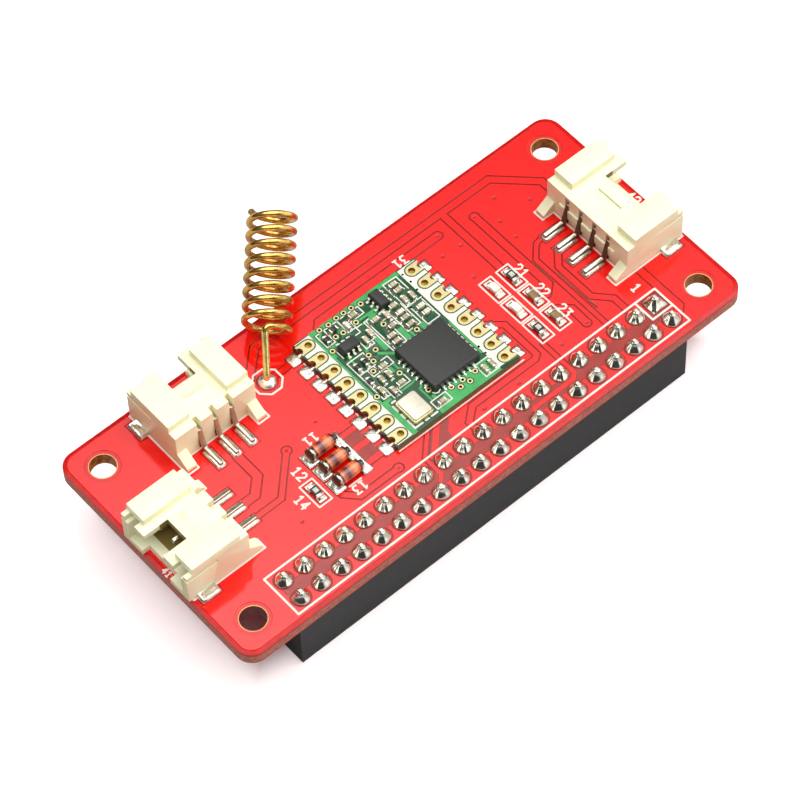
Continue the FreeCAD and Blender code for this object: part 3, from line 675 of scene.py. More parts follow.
def build_print():
    lines = box_line(-25.5, -14.05, 25.4, -8.9, 0.11)
    lines += pen([(22.7, -8.9), (22.7, -11.55), (25.4, -11.55)], 0.11)
    lines += pen([(31.95, 5.0), (31.95, 6.2), (22.8, 6.2), (22.8, 4.93), (24.27, 4.93), (24.27, -4.72),
                  (22.8, -4.72), (22.8, -6.02), (31.95, -6.02), (31.95, -4.9)], 0.1)
    lines += pen([(-31.95, 3.0), (-31.95, 4.02), (-23.12, 4.02), (-23.12, 2.78), (-24.6, 2.78),
                  (-24.6, -4.95), (-23.12, -4.95), (-23.12, -6.22), (-31.95, -6.22), (-31.95, -5.3)], 0.1)
    lines += pen([(-31.47, 3.0), (-31.47, -5.2)], 0.07)
    lines += pen([(-22.6, 14.3), (-23.43, 14.3), (-23.43, 5.12), (-22.1, 5.12), (-22.1, 6.74), (-14.5, 6.74),
                  (-14.5, 5.12), (-13.17, 5.12), (-13.17, 14.3), (-14.0, 14.3)], 0.1)
    octagon = circle(*ANTENNA, 1.6, 16)[1::2]
    lines += pen(octagon, 0.1, True)
    for x in (13.4, 15.7):
        for y in (1.7, -1.58, -4.85):
            lines += box_line(x - 0.8, y - 1.52, x + 0.8, y + 1.5)
    lines += box_line(-16.3, -6.25, -14.7, -3.2)
    for y in (-0.55, -2.45, -4.45, -6.36):
        lines += pen([(-12.6, y), (-11.1, y)], 0.1)
    lines += pen([(-6.3, -6.52), (9.9, -6.56)], 0.075)
    for edge in (MODULE_LOW.x - 0.22, MODULE_HIGH.x + 0.22):
        for after, before in zip(module_rows, module_rows[1:]):
            middle = (after + before) / 2
            lines += pen([(edge, middle - 0.25), (edge, middle + 0.05)], 0.075)
    for text, x, y, degrees in (
        ("1", 24.1, -7.6, 270), ("11", -11.9, 0.3, 180), ("12", -15.3, -2.0, 270),
        ("13", -11.9, -7.1, 180), ("14", -17.2, -4.7, 270), ("21", 16.95, 1.7, 270),
        ("22", 16.95, -1.5, 270), ("23", 16.95, -4.85, 270), ("31", 8.6, 10.6, 180),
        ("41", -31.94, -2.1, 270), ("42", 31.5, 0.8, 270),
    ):
        height, half = (0.68, 0.075) if text == "41" else (1.0, 0.1)
        lines += digit_strokes(text, x, y, height, degrees, half)
    flat_layer("board_print", lines, BOARD_TOP - 0.02, BOARD_TOP + 0.018, "ink", "board_mask")


build_print()

# Header joints: concave solder hills round the square tails
JOINT = ((0.97, 0.0), (0.965, 0.06), (0.91, 0.18), (0.79, 0.36), (0.65, 0.55), (0.52, 0.75), (0.43, 0.93),
         (0.36, 1.06), (0.28, 1.12))
parts = []
for x, y in header_pins:
    lift = rng.uniform(0.92, 1.08)
    profile = [(r, BOARD_TOP + z * lift) for r, z in JOINT]
    square = 0.9 if (x, y) == square_pin else 0.0
    parts.append(lathe(profile, x, y, 24, 0.03, random_phase(), square))
piece("header_joints", *join(parts), "solder_tin", "solder", ("header_solder",), smooth=True)


# Solder that leans on an end face and runs out on its land
def solder_run(x, y, degrees, length, width, near_height, far_height, level, waist=0.0, seed=0.0):
    """A smooth run of solder from x, y out along degrees, in millimetres."""
    turn = math.radians(degrees)
    along = (math.cos(turn), math.sin(turn))
    across = (-along[1], along[0])
    steps_u = 7
    steps_v = 8
    verts = []
    faces = []
    for i in range(steps_u + 1):
        u = i / steps_u
        tall = far_height + (near_height - far_height) * (1 - u) ** 1.7
        narrow = 1 - waist * math.sin(math.pi * u)
        for j in range(steps_v + 1):
            v = 2 * j / steps_v - 1
            dome = max(0.0, 1 - abs(v) ** 3.2)
            end = max(0.0, 1 - u ** 9)
            lump = 1 + 0.12 * math.sin(5.0 * u + 3.0 * v + seed) * (1 - v * v)
            reach = u * length * (1 - 0.06 * v * v)
            side = v * width / 2 * narrow * (1 - 0.05 * u ** 4)
            verts.append((x + along[0] * reach + across[0] * side, y + along[1] * reach + across[1] * side,
                          level + tall * dome * end * lump))
    row = steps_v + 1
    for i in range(steps_u):
        for j in range(steps_v):
            a = i * row + j
            faces.append((a, a + row, a + row + 1, a + 1))
    top_count = len(verts)
    verts += [(vx, vy, level - 0.01) for vx, vy, _ in verts]
    rim = list(range(row)) + [i * row + steps_v for i in range(1, steps_u + 1)]
    rim += [steps_u * row + j for j in range(steps_v - 1, -1, -1)]
    rim += [i * row for i in range(steps_u - 1, 0, -1)]
    for a, b in pairs(rim):
        faces.append((a, b, b + top_count, a + top_count))
    return verts, faces


def pillow(x0, x1, y0, y1, height, seed, fullness=0.5, squareness=5.0, lump=0.1, count=28):
    """A cushion of solder on the main board over a rounded rectangle, in millimetres."""
    cx, cy = (x0 + x1) / 2, (y0 + y1) / 2
    rx, ry = abs(x1 - x0) / 2, abs(y1 - y0) / 2
    rings = 6
    verts = []
    for ring in range(rings + 1):
        r = 1.0 if ring == 0 else 1 - (ring - 1) / rings * 0.98 - 0.02
        for k in range(count):
            turn = 2 * math.pi * k / count
            c, s = math.cos(turn), math.sin(turn)
            reach = (abs(c) ** squareness + abs(s) ** squareness) ** (-1 / squareness)
            u, v = r * reach * c, r * reach * s
            wave = 1 + lump * math.sin(3.1 * u + 2.3 * v + seed) * math.cos(2.7 * v - 1.9 * u + 2 * seed)
            z = BOARD_TOP - 0.01 if ring == 0 else BOARD_TOP + height * (1 - r ** 4) ** fullness * wave
            verts.append((cx + rx * u, cy + ry * v, z))
    top = tuple(rings * count + k for k in range(count))
    return verts, ring_sides(rings + 1, count) + [top]


def outward(ends, bodies):
    """Centre, outward direction in degrees, length and width of each end of a two-ended part."""
    body_boxes = solids(bodies)
    found = []
    for low, high in solids(ends):
        centre = (low + high) / 2
        body = min(((a + b) / 2 for a, b in body_boxes), key=lambda c: (c - centre).length)
        reach = centre - body
        size = high - low
        if abs(reach.x) > abs(reach.y):
            found.append((centre, 0 if reach.x > 0 else 180, size.x, size.y, high.z))
        else:
            found.append((centre, 90 if reach.y > 0 else 270, size.y, size.x, high.z))
    return found


def end_solder(kinds, level, reach, spare, height_share):
    """A solder run at each end of each small part."""
    runs = []
    for kind in kinds:
        bodies = kind + ("_bases" if kind == "light" else "_bodies")
        for centre, degrees, length, width, top in outward(kind + "_ends", bodies):
            turn = math.radians(degrees)
            inset = length / 2 - 0.05
            x = centre.x + math.cos(turn) * inset
            y = centre.y + math.sin(turn) * inset
            runs.append(solder_run(x, y, degrees, reach + 0.05, width + spare, (top - level) * height_share,
                                   far_height=0.05, level=level, waist=0.05, seed=random_phase()))
    return runs


# Radio board: green mask, gold pads with half holes, print and small vias
PAD_HALF = 0.64
HOLE_INSET = 1.2

light_green = [
    rectangle(-4.4, 9.05, 7.1, 9.6), rectangle(-4.4, 6.6, -2.8, 6.95), rectangle(-4.4, 5.6, -3.85, 6.9),
    [(-4.38, 9.1), (-4.15, 9.1), (-4.15, -6.4), (-4.38, -6.4)],
    rectangle(0.1, 3.0, 0.65, 4.9), rectangle(2.6, 2.5, 3.15, 4.15), rectangle(3.3, 2.5, 3.6, 3.1),
    rectangle(4.6, 2.5, 5.2, 3.2), rectangle(-2.0, 7.1, -1.0, 8.0), rectangle(-1.2, 0.5, -0.75, 1.2),
    rectangle(-4.38, -6.4, -3.75, -1.5), rectangle(-3.9, -1.9, -3.2, -1.5), rectangle(-0.1, -4.6, 0.3, -4.1),
    [(-0.6, -6.4), (7.19, -6.4), (7.1, -4.3), (1.35, -4.3), (1.3, -4.55), (-0.6, -5.65)],
    rectangle(1.5, 6.2, 2.2, 7.6), rectangle(5.1, 9.0, 7.1, 9.6), rectangle(6.95, -3.6, 7.15, 1.4),
]
green_tracks = [
    (0.16, [(-0.6, 3.7), (-0.6, 3.2), (0.5, 2.2)]), (0.1, [(-0.35, 1.3), (-0.35, 0.6), (0.2, 0.1)]),
    (0.1, [(-2.0, -1.7), (-0.4, -1.7), (0.2, -1.4)]), (0.1, [(-0.35, -4.6), (-0.35, -2.7), (0.25, -2.35)]),
    (0.14, [(0.3, 7.5), (2.3, 7.5), (3.0, 7.9)]), (0.12, [(0.5, 6.9), (2.4, 7.1)]),
    (0.1, [(2.1, -4.2), (2.1, -4.6)]), (0.1, [(2.8, -4.2), (2.8, -5.2)]), (0.1, [(3.5, -4.2), (3.5, -4.7)]),
    (0.1, [(4.1, -4.2), (4.0, -5.3)]), (0.1, [(5.1, -4.2), (5.1, -4.8)]), (0.12, [(-3.2, 5.0), (-3.2, 3.9)]),
    (0.16, [(-1.5, 3.9), (-1.0, 4.6)]), (0.12, [(-4.0, 8.3), (-3.3, 8.9)]),
]
gold_vias = [
    (-3.21, 9.24), (-2.11, 9.14), (-1.01, 9.24), (-0.06, 9.24), (0.89, 9.19), (1.94, 8.94), (-2.51, 7.54),
    (-1.61, 7.44), (0.14, 7.54), (-3.86, 6.44), (2.04, 5.54), (-1.51, 3.69), (-0.56, 3.74), (-1.61, 2.84),
    (4.09, 2.84), (-2.41, 1.94), (-0.61, 0.04), (-4.11, -0.61), (0.19, -3.36), (2.09, -4.61), (2.79, -5.21),
    (3.49, -4.71), (3.94, -5.31), (5.09, -4.76),
]
dot_vias = [(7.39, 8.84), (7.44, 7.64), (7.29, 6.49), (5.39, 5.24), (7.29, -2.81), (7.29, -3.81)]
green_print = [
    [(-3.96, 8.92), (1.49, 8.92), (1.49, 7.9), (-0.26, 7.9)],
    [(-3.96, 8.92), (-3.96, 7.09), (-2.91, 7.09), (-2.91, 8.9)],
    [(-1.21, 8.92), (-1.21, 7.09), (-0.26, 7.09), (-0.26, 7.9)], [(-3.61, 6.44), (-3.61, 5.04)],
    [(-3.71, 4.3), (-1.75, 4.3), (-1.75, 2.39), (-3.8, 2.39)],
    [(-3.8, 4.3), (-3.8, -1.31), (-2.91, -1.31), (-2.91, -0.2)],
    [(-1.16, 5.44), (-1.16, 4.39), (-0.11, 4.39), (-0.11, 4.9)], [(1.3, 7.02), (0.69, 7.0), (0.69, 2.45)],
    [(-0.3, 7.0), (0.4, 7.0)], [(-0.3, 7.0), (-0.3, 6.35), (-0.9, 6.35)],
    [(-2.8, 2.39), (-2.8, 1.39), (-1.16, 1.39)],
    [(-2.01, 2.29), (-2.01, 1.39), (-0.21, 1.39), (-0.21, 2.4), (-1.0, 2.4)], [(-1.16, 1.39), (-1.16, 0.6)],
    [(-0.41, -0.36), (-0.41, -1.36), (-1.8, -1.36)], [(-2.0, -1.2), (-2.0, -1.9)],
    [(-2.9, -1.3), (-2.9, -1.9)], [(3.29, 6.5), (3.29, 3.24), (3.89, 3.24)],
    [(4.49, 3.24), (4.94, 3.24), (4.94, 6.3)], [(2.49, 4.34), (2.49, 2.54), (2.04, 2.54)],
    [(5.04, 7.3), (5.04, 9.19), (6.74, 9.1), (6.74, 7.2)], [(5.09, 7.2), (5.09, 5.54), (7.0, 5.54)],
    [(5.34, 5.2), (5.34, 2.59), (6.9, 2.59), (6.9, 5.3)], [(0.95, 6.9), (0.95, 2.6)],
    [(2.0, 5.9), (2.6, 5.9)], [(1.9, 4.95), (2.4, 4.95)],
    [(-0.61, -4.61), (1.29, -4.61), (1.29, -5.71), (-0.61, -5.71), (-0.61, -4.61)],
    [(5.49, -4.26), (7.19, -4.26), (7.19, -6.01), (5.49, -6.01), (5.49, -4.26)],
    [(0.3, -3.9), (0.45, -4.15), (0.75, -4.25), (1.1, -4.1)],
]
corner_print = [
    [(-3.7, -2.55), (-3.7, -3.3)], [(-3.7, -3.8), (-3.7, -4.35)],
    [(-3.7, -4.75), (-3.7, -5.9), (-2.75, -5.9)], [(-2.35, -5.9), (-1.95, -5.9)],
    [(-1.6, -5.9), (-0.85, -5.9)], [(-3.5, -2.15), (-3.1, -2.15)],
    [(3.2, 6.85), (2.5, 6.75)],
]
MODULE_RELIEF = 0.03
PRINT_HALF = 0.065
CORNER_HALF = 0.11
PAD_HOLE = 0.375
PAD_HOLE_STEPS = 20
EDGE_HOLE = 0.42
PLUG_DEPTH = 0.38
MODULE_ORDER = (
    ("via", "via_dark", False), ("gold", "gold_plate", True), ("clear", "green_bare", False),
    ("ink", "ink", True), ("copper", "mask_green", True), ("board", "green_bare", False),
)


def build_module():
    x0, y0, x1, y1 = MODULE_LOW.x, MODULE_LOW.y, MODULE_HIGH.x, MODULE_HIGH.y
    plan = PlanarMap()
    plan.add("board", rectangle(x0, y0, x1, y1))
    plan.add("ink", rectangle(x0 + 0.12, y0 + 0.12, -4.4, y1 - 0.12))
    plan.add("ink", rectangle(7.19, y0 + 0.4, x1 - 0.12, y1 - 0.12))
    for zone in light_green:
        plan.add("copper", zone)
    for half, points in green_tracks:
        plan.add("copper", stroke(points, half))
    for half, print_lines in ((PRINT_HALF, green_print), (CORNER_HALF, corner_print)):
        for line in print_lines:
            for outline in pen(line, half):
                plan.add("ink", outline)
    # Via holes here and below are flat black discs of painted shade standing in for the holes
    for x, y in gold_vias:
        for kind, radius, count in (("clear", 0.42, 14), ("gold", 0.3, 14), ("via", 0.16, 10)):
            plan.add(kind, circle(x, y, radius, count))
    for x, y in dot_vias:
        plan.add("via", circle(x, y, 0.13, 10))
    drilled = []
    for edge, inward in ((x0, 1), (x1, -1)):
        for y in module_rows:
            centre = edge + inward * HOLE_INSET
            for grow, kind in ((0.0, "gold"), (0.14, "clear")):
                half = PAD_HALF + grow
                outline = [(edge - inward, y - half), (centre, y - half)]
                outline += [(centre + inward * half * math.cos(t), y + half * math.sin(t))
                            for t in [math.pi * (k / 12 - 0.5) for k in range(1, 12)]]
                outline += [(centre, y + half), (edge - inward, y + half)]
                plan.add(kind, outline)
            plan.add("hole", circle(centre, y, PAD_HOLE, PAD_HOLE_STEPS))
            plan.add("hole", circle(edge, y, EDGE_HOLE))
            drilled += [(centre, y, PAD_HOLE), (edge, y, EDGE_HOLE)]
    verts, kept, face_looks = plate_sheet(plan, MODULE_TOP, MODULE_RELIEF, MODULE_ORDER)
    count = len(verts)
    verts += [(x, y, MODULE_LOW.z) for x, y, _ in verts]
    plugs = []
    for x, y, radius in drilled:
        if radius == PAD_HOLE:
            plugs.append(list(range(len(verts), len(verts) + PAD_HOLE_STEPS)))
            verts += [(px, py, MODULE_TOP - PLUG_DEPTH) for px, py in circle(x, y, radius, PAD_HOLE_STEPS)]
    walls = []
    for a, b in sorted(open_edges(kept)):
        middle = ((verts[a][0] + verts[b][0]) / 2, (verts[a][1] + verts[b][1]) / 2)
        plated = any(math.hypot(middle[0] - x, middle[1] - y) < radius + 0.02 for x, y, radius in drilled)
        walls.append([a, a + count, b + count, b])
        # The radio board's edge face toward -x is painted darker as shade
        edge_look = "module_edge_painted_shade" if abs(middle[0] - x0) < 0.01 else "module_laminate"
        # Plated bores are gold, painted darker as shade in the hollows
        face_looks.append("bore_gold_painted_shade" if plated else edge_look)
    under = [[k + count for k in reversed(face)] for face in kept]
    face_looks += ["green_bare"] * len(under) + ["plug_gold"] * len(plugs)
    piece("module_plate", verts, kept + walls + under + plugs, face_looks, "module_mask", ("radio_board",))


build_module()

parts = []
for low, high in solids("radio_board_lands"):
    middle = ((low + high) / 2).y
    start, degrees = (MODULE_HIGH.x - 0.3, 0) if low.x > 0 else (MODULE_LOW.x + 0.3, 180)
    (x0, y0), (x1, y1) = radio_land(low, high)
    parts.append(solder_run(start, middle, degrees, length=0.8, width=0.5, near_height=0.2, far_height=0.1,
                            level=BOARD_TOP, seed=random_phase()))
    parts.append(pillow(x0, x1, y0, y1, 0.12, random_phase(), fullness=0.25, squareness=20.0, lump=0.08))
piece("module_solder", *join(parts), "pad_tin", "solder", ("radio_board_solder", "radio_board_lands"),
      smooth=True)

runs = end_solder(("radio_capacitor", "radio_resistor", "radio_inductor"), MODULE_TOP, reach=0.24,
                  spare=0.06, height_share=0.62)
chip_low, chip_high = [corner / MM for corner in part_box("radio_chip")]
for low, high in solids("radio_chip_leads"):
    centre = (low + high) / 2
    around = (
        (high.x > chip_high.x + 0.1, chip_high.x + 0.02, centre.y, 0),
        (low.x < chip_low.x - 0.1, chip_low.x - 0.02, centre.y, 180),
        (high.y > chip_high.y + 0.1, centre.x, chip_high.y + 0.02, 90),
        (True, centre.x, chip_low.y - 0.02, 270),
    )
    x, y, degrees = next(place[1:] for place in around if place[0])
    length, width, far_height = (0.6, 0.26, 0.06) if degrees == 270 else (0.45, 0.3, 0.05)
    runs.append(solder_run(x, y, degrees, length, width, 0.22, far_height, level=MODULE_TOP))
piece("module_small_solder", *join(runs), "solder_tin", "solder", smooth=True)

# Solder of the chip parts and lights on the main board
runs = end_solder(("board_capacitor", "board_resistor", "light"), BOARD_TOP, reach=0.42, spare=0.1,
                  height_share=0.7)
piece("board_small_solder", *join(runs), "solder_tin", "solder", ("small_part_solder",), smooth=True)

# Diodes: an amber barrel in bands that paint the studs and die inside the glass with painted highlights,
# brightest right of the middle, a bright ring and a dark end at the left, solder up to the right end
AMBER_AND_PAINTED_HIGHLIGHTS = [(92, 32, 12), (206, 112, 40), (168, 66, 34), (104, 36, 28), (92, 36, 32), (176, 84, 66),
         (206, 102, 62), (230, 132, 76), (230, 130, 68), (192, 76, 34), (60, 18, 10)]
for band, colour in enumerate(AMBER_AND_PAINTED_HIGHLIGHTS):
    look = "amber_%d" % band
    looks[look] = finish(look, colour, 0.3, 0.0, 0.12, 0.3, 0.02, coat=1.0)


def barrel(profile, y, z, count):
    """Rings of position and radius round a level axis along x, closed at both ends."""
    verts = []
    for x, radius in profile:
        verts += [(x, a, b) for a, b in circle(y, z, radius, count)]
    start = tuple(reversed(range(count)))
    end = tuple(range(len(verts) - count, len(verts)))
    return verts, [start] + ring_sides(len(profile), count) + [end]


def build_diodes():
    count = 24
    parts = []
    face_looks = []
    pools = []
    boxes = solids("diode_glass")
    for low, high in boxes:
        y, z = (low.y + high.y) / 2, (low.z + high.z) / 2
        radius = (high.z - low.z) / 2
        wide = radius + 0.05
        step = (high.x + 0.1 - low.x) / len(AMBER_AND_PAINTED_HIGHLIGHTS)
        rings = [(low.x - 0.55, radius * 0.8, "cap_dark"), (low.x - 0.5, radius * 0.94, "cap_dark"),
                 (low.x - 0.3, radius * 0.97, "tin_plate"), (low.x - 0.27, wide, "tin_plate"),
                 (low.x - 0.03, wide, "tin_plate")]
        rings += [(low.x + k * step, radius, "amber_%d" % k) for k in range(len(AMBER_AND_PAINTED_HIGHLIGHTS))]
        rings += [(high.x + 0.1, radius * 0.98, "cap_dark"), (high.x + 0.13, radius * 0.6, "tin_plate"),
                  (high.x + 0.53, radius * 0.55, "tin_plate"), (high.x + 0.55, radius * 0.4, "tin_plate")]
        parts.append(barrel([(x, r) for x, r, _ in rings], y, z, count))
        face_looks.append("cap_dark")
        for _, _, look in rings[:-1]:
            face_looks += [look] * count
        face_looks.append("tin_plate")
        pools.append(pillow(-14.15, -12.8, y - 0.9, y + 0.9, 0.2, random_phase(), fullness=0.35,
                            squareness=12.0, lump=0.14))
        pools.append(solder_run(low.x - 0.5, y, 180, length=0.55, width=1.3, near_height=0.5, far_height=0.16,
                                level=BOARD_TOP, waist=0.05, seed=random_phase()))
        pools.append(solder_run(high.x + 0.12, y, 0, length=0.8, width=1.5, near_height=0.62, far_height=0.2,
                                level=BOARD_TOP, seed=random_phase()))
    first = min(low.y for low, _ in boxes)
    last = max(high.y for _, high in boxes)
    pools.append(pillow(-10.6, -9.5, first - 0.22, last + 0.22, 0.24, seed=2.0, fullness=0.25,
                        squareness=18.0, lump=0.12, count=56))
    piece("diode_barrels", *join(parts), face_looks, "orange_glass",
          ("diode_glass", "diode_studs", "diode_dies"), smooth=True)
    piece("diode_solder", *join(pools), "land_tin", "solder", smooth=True)


build_diodes()

# Painted highlight: pale patches on the tops of the black resistors stand for the light they reflect
resistors = solids("board_resistor_bodies")
tops = [rectangle(low.x + 0.16, low.y + 0.2, high.x - 0.16, high.y - 0.2) for low, high in resistors]
tops_level = max(high.z for _, high in resistors)
flat_layer("resistor_top_highlights", tops, tops_level - 0.02, tops_level + 0.01, "resistor_grey", "resistor_black")

# Connector mouths: the axis and sign that each opens along, and the painted shade deep inside
MOUTHS = {"right": (0, 1), "left": (0, -1), "top": (1, 1)}
SHELL_WALL = 0.95
SHELL_DEPTH = 7.6
HOLLOW_DEPTH = 1.9
MOUTH_LEVELS = (0.5, 3.9)
SLIT_LEVELS = (3.25, 3.65)


def depth_in(side, point):
    """How far behind the front of a connector's mouth a point in millimetres is."""
    axis, sign = MOUTHS[side]
    low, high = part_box(side + "_connector_shell")
    front = high[axis] if sign > 0 else low[axis]
    return (front / MM - point[axis]) * sign


def shade_hollows(moulding, side):
    """Painted shade deep in a connector's mouth and side slit, and painted shade warmed by a painted
    reflection of the red board on the side toward -x.
    """
    low, high = [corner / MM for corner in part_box(side + "_connector_shell")]
    axis, sign = MOUTHS[side]
    across = 1 - axis
    mesh = bmesh.new()
    mesh.from_mesh(moulding.data)
    cut = Vector((0, 0, 0))
    cut[axis] = (high[axis] if sign > 0 else low[axis]) - sign * HOLLOW_DEPTH
    along = Vector((0, 0, 0))
    along[axis] = 1.0
    bmesh.ops.bisect_plane(mesh, geom=mesh.verts[:] + mesh.edges[:] + mesh.faces[:], plane_co=cut * MM,
                           plane_no=along)
    mesh.to_mesh(moulding.data)
    mesh.free()
    for look in ("ivory_painted_deep_shade", "ivory_painted_side_shade"):
        moulding.data.materials.append(looks[look])
    for polygon in moulding.data.polygons:
        centre = polygon.center / MM
        depth = depth_in(side, centre)
        from_side = min(centre[across] - low[across], high[across] - centre[across])
        level = centre.z - BOARD_TOP
        deep = HOLLOW_DEPTH < depth < SHELL_DEPTH - 1.5 and from_side > SHELL_WALL - 0.01
        in_mouth = deep and MOUTH_LEVELS[0] < level < MOUTH_LEVELS[1]
        in_wall = 0.2 < from_side < SHELL_WALL - 0.1 and SLIT_LEVELS[0] < level < SLIT_LEVELS[1]
        in_slit = side == "left" and in_wall and -0.9 < depth - SHELL_DEPTH / 2 < 0.05
        # Painted shade: faces deep in the mouth and slit take the darker ivory, and faces toward -x take a
        # warm shaded ivory
        if in_mouth or in_slit:
            polygon.material_index = 1
        elif polygon.normal.x < -0.8 and centre.x < low.x + 0.3:
            polygon.material_index = 2


# Solder under the connectors' feet and clips, and round the antenna's foot
for side in SIDES:
    pools = []
    for low, high in solids(side + "_connector_lands"):
        size = high - low
        short_height = 0.34 if min(size.x, size.y) > 1.12 else 0.26
        height = 0.3 if max(size.x, size.y) > 2.5 else short_height
        pools.append(pillow(low.x, high.x, low.y, high.y, height, random_phase()))
    piece(side + "_pools", *join(pools), "pad_tin", "solder", (side + "_connector_lands",), smooth=True)

profile = [(0.95, -0.01), (0.94, 0.06), (0.9, 0.15), (0.8, 0.27), (0.66, 0.38), (0.5, 0.48), (0.37, 0.56)]
foot = lathe([(r, BOARD_TOP + z) for r, z in profile], *ANTENNA, 32, 0.02, 1.0)
piece("antenna_pool", *foot, "land_tin", "solder", ("antenna_solder",), smooth=True)

# Rounded mouldings, pins, chips and small parts
rounded_copy("header_moulding", "header_housing", 0.08, "black_plastic")
for side in SIDES:
    moulding = rounded_copy(side + "_moulding", side + "_connector_shell", 0.12, "ivory", 3)
    shade_hollows(moulding, side)
    pins = rounded_copy(side + "_pins", side + "_connector_terminals", 0.13, "pin_tin", 3)
    # The legs' slanted parts behind the shell take a painted shade on the right connector and a paler painted
    # tone on the others
    pins.data.materials.append(looks["pin_shade" if side == "right" else "pin_painted_light"])
    for polygon in pins.data.polygons:
        centre = polygon.center / MM
        if centre.z > BOARD_TOP + 0.75 and depth_in(side, centre) > SHELL_DEPTH - 1.2:
            polygon.material_index = 1
    rounded_copy(side + "_tabs", side + "_connector_clips", 0.06, "tin_plate")
rounded_copy("radio_chip_body", "radio_chip", 0.05, "chip_black")
rounded_copy("switch_bodies", "switch_chips", 0.04, "chip_black")
small_parts = []
for kind, look, slot in (
    ("radio_capacitor", "ceramic_grey", "ceramic_tan"),
    ("radio_resistor", "resistor_black", "resistor_black"),
    ("radio_inductor", "ceramic_cream", "ceramic_cream"),
    ("board_capacitor", "ceramic_tan", "ceramic_tan"),
    ("board_resistor", "resistor_black", "resistor_black"),
):
    small_parts += [(kind + "_bodies", look, slot), (kind + "_ends", "tin_plate", "tin")]
for node, look in (("light_lenses", "lens_clear"), ("crystal_lid", "crystal_lid_metal"),
                   ("crystal_base", "gold_plate")):
    small_parts.append((node, look, look))
for node, look, slot in small_parts:
    rounded_copy(node + "_soft", node, 0.05, look)


# Antenna wire: what tells its stalk and its cut ends from the turns
STALK_EDGE = 1.5
STALK_REACH = 0.9
CUT_END_FACES = 5


def dress_wire():
    """The antenna wire is smooth, dull on its cut ends and painted paler along its stalk as a painted
    highlight.
    """
    wire = nodes["antenna_wire"].data
    wire.polygons.foreach_set("use_smooth", [True] * len(wire.polygons))
    wire.set_sharp_from_angle(angle=math.radians(50))
    for look in ("brass_end", "brass_painted_lit_stalk"):
        wire.materials.append(looks[look])
    flat = {}
    for polygon in wire.polygons:
        level = polygon.normal.dot(polygon.center) / MM
        plane = tuple(round(c, 3) for c in polygon.normal) + (round(level, 2),)
        flat.setdefault(plane, []).append(polygon)
    for group in flat.values():
        if len(group) > CUT_END_FACES:
            for polygon in group:
                polygon.material_index = 1
    for polygon in wire.polygons:
        around = [wire.vertices[k].co for k in polygon.vertices]
        longest = max((a - b).length for a, b in pairs(around))
        aside = math.hypot(polygon.center.x / MM - ANTENNA[0], polygon.center.y / MM - ANTENNA[1])
        # Painted highlight: the stalk takes the paler brass
        if longest > STALK_EDGE * MM or aside < STALK_REACH:
            polygon.material_index = 2


dress_wire()

# Stage: a white floor with painted shade under the board, a soft light and a surround that is dark low down
FLOOR_GAP = 0.00002
FLOOR_SIZE = 6.0
SHADE_INSET = 1.5
SHADE_FADE = 4
SHADE_COLOUR = (0.6, 0.44, 0.47, 1)
BOUNCE_COLOUR = (0.5, 0.49, 0.48, 1)
FLOOR_GLOW = 0.35


def dress_floor(floor):
    material = finish("floor_white", (247, 237, 235), 0.9, 0.0, 0.004, 300.0, 0.0)
    tree = material.node_tree
    seen = tree.nodes.new("ShaderNodeLightPath").outputs["Is Camera Ray"]
    place = shader_node(tree, "SeparateXYZ", {"Vector": tree.nodes["Texture Coordinate"].outputs["Object"]})
    # Painted shade: under the board's footprint the floor turns to the shade colour and its glow fades
    margins = []
    for axis, half in (("X", board_high.x), ("Y", board_high.y)):
        aside = math_of(tree, "ABSOLUTE", place.outputs[axis])
        margins.append(math_of(tree, "SUBTRACT", half - SHADE_INSET * MM, aside))
    inside = math_of(tree, "MINIMUM", *margins)
    shade = shader_node(tree, "MapRange", {"Value": inside, "From Max": SHADE_FADE * MM},
                        interpolation_type="SMOOTHSTEP").outputs["Result"]
    lit = math_of(tree, "MULTIPLY", seen, math_of(tree, "SUBTRACT", 1.0, shade))
    glow = math_of(tree, "MULTIPLY", lit, FLOOR_GLOW)

    def mixed(factor, colour, other):
        return shader_node(tree, "Mix", {"Factor": factor, 6: colour, 7: other}, data_type="RGBA").outputs[2]

    colour_seen = mixed(shade, tree.nodes["Color Ramp"].outputs["Color"], SHADE_COLOUR)
    feed(tree, tree.nodes["Principled BSDF"], {
        "Emission Color": (1, 1, 1, 1), "Emission Strength": glow,
        "Base Color": mixed(seen, BOUNCE_COLOUR, colour_seen)})
    floor.data.materials.append(material)


floor_level = cad_box[0].z - FLOOR_GAP
bpy.ops.mesh.primitive_grid_add(x_subdivisions=2, y_subdivisions=2, size=FLOOR_SIZE,
                                location=(0, 0, floor_level))
floor = bpy.context.object
floor.name = "floor"
dress_floor(floor)

lamp_data = bpy.data.lights.new("key", "AREA")
lamp_data.energy = 1.5
lamp_data.shape = "DISK"
lamp_data.size = 0.5
lamp = bpy.data.objects.new("key", lamp_data)
lamp.location = (0.55, -0.12, 0.75)
lamp.rotation_euler = (-lamp.location).to_track_quat("-Z", "Y").to_euler()
bpy.context.scene.collection.objects.link(lamp)

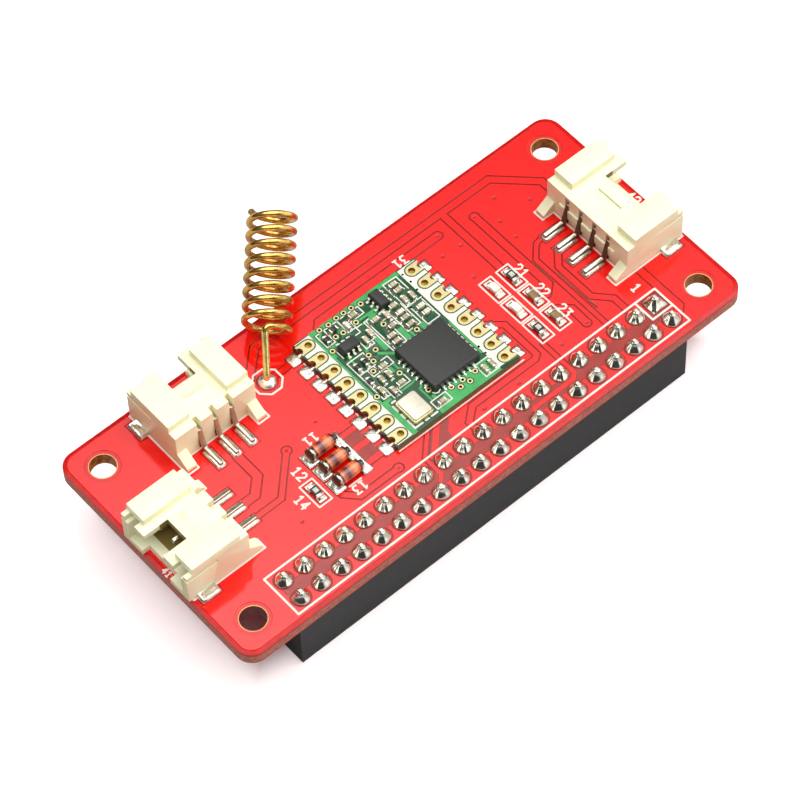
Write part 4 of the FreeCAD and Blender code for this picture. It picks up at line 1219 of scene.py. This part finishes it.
# Height and brightness of the surround, and the bright card to the right in it
SKY = ((0.3, 0.05), (0.7, 0.22), (0.8, 0.6), (0.82, 1.2), (0.84, 2.2), (0.87, 3.7), (0.92, 3.5), (1.0, 1.9))
SKY_SCALE = 4
CARD_TOWARD = Vector((0.78, -0.58, 0.22)).normalized()
CARD_START = 0.55
CARD_FULL = 0.8
CARD_LIGHT = 1.3


def build_surround():
    world = bpy.data.worlds.new("surround")
    world.use_nodes = True
    tree = world.node_tree
    place = tree.nodes.new("ShaderNodeTexCoord").outputs["Generated"]
    parts = shader_node(tree, "SeparateXYZ", {"Vector": place})
    ramp = shader_node(tree, "ValToRGB", {"Fac": parts.outputs["Z"]})
    stops = ramp.color_ramp.elements
    stops[0].position = SKY[0][0]
    for height, _ in SKY[1:-1]:
        stops.new(height)
    for stop, (_, light) in zip(stops, SKY):
        stop.color = (light / SKY_SCALE,) * 3 + (1,)
    overhead = math_of(tree, "MULTIPLY", ramp.outputs["Color"], float(SKY_SCALE))
    toward = shader_node(tree, "VectorMath", {0: place, 1: CARD_TOWARD}, operation="DOT_PRODUCT")
    right_card = shader_node(tree, "MapRange", {
        "Value": toward.outputs["Value"], "From Min": CARD_START, "From Max": CARD_FULL, "To Min": 0.0,
        "To Max": CARD_LIGHT}, interpolation_type="SMOOTHSTEP")
    strength = math_of(tree, "MAXIMUM", overhead, right_card.outputs["Result"])
    feed(tree, tree.nodes["Background"], {"Strength": strength, "Color": (1, 1, 1, 1)})
    bpy.context.scene.world = world


build_surround()

# Camera at the photograph's viewing angle
camera_data = bpy.data.cameras.new("camera")
camera_data.lens = 172.43
camera_data.sensor_width = 36
camera = bpy.data.objects.new("camera", camera_data)
forward = Vector((0.345748, 0.432968, -0.832464)).normalized()
level_right = forward.cross(Vector((0, 0, 1))).normalized()
level_up = level_right.cross(forward)
roll = math.radians(-2.72)
right = level_right * math.cos(roll) + level_up * math.sin(roll)
up = right.cross(forward)
camera.matrix_world = Matrix((right, up, -forward)).transposed().to_4x4()
camera.location = Vector((-132.715, -165.252, 315.490)) * MM
bpy.context.scene.collection.objects.link(camera)
bpy.context.scene.camera = camera
bpy.context.scene.view_settings.view_transform = "Standard"
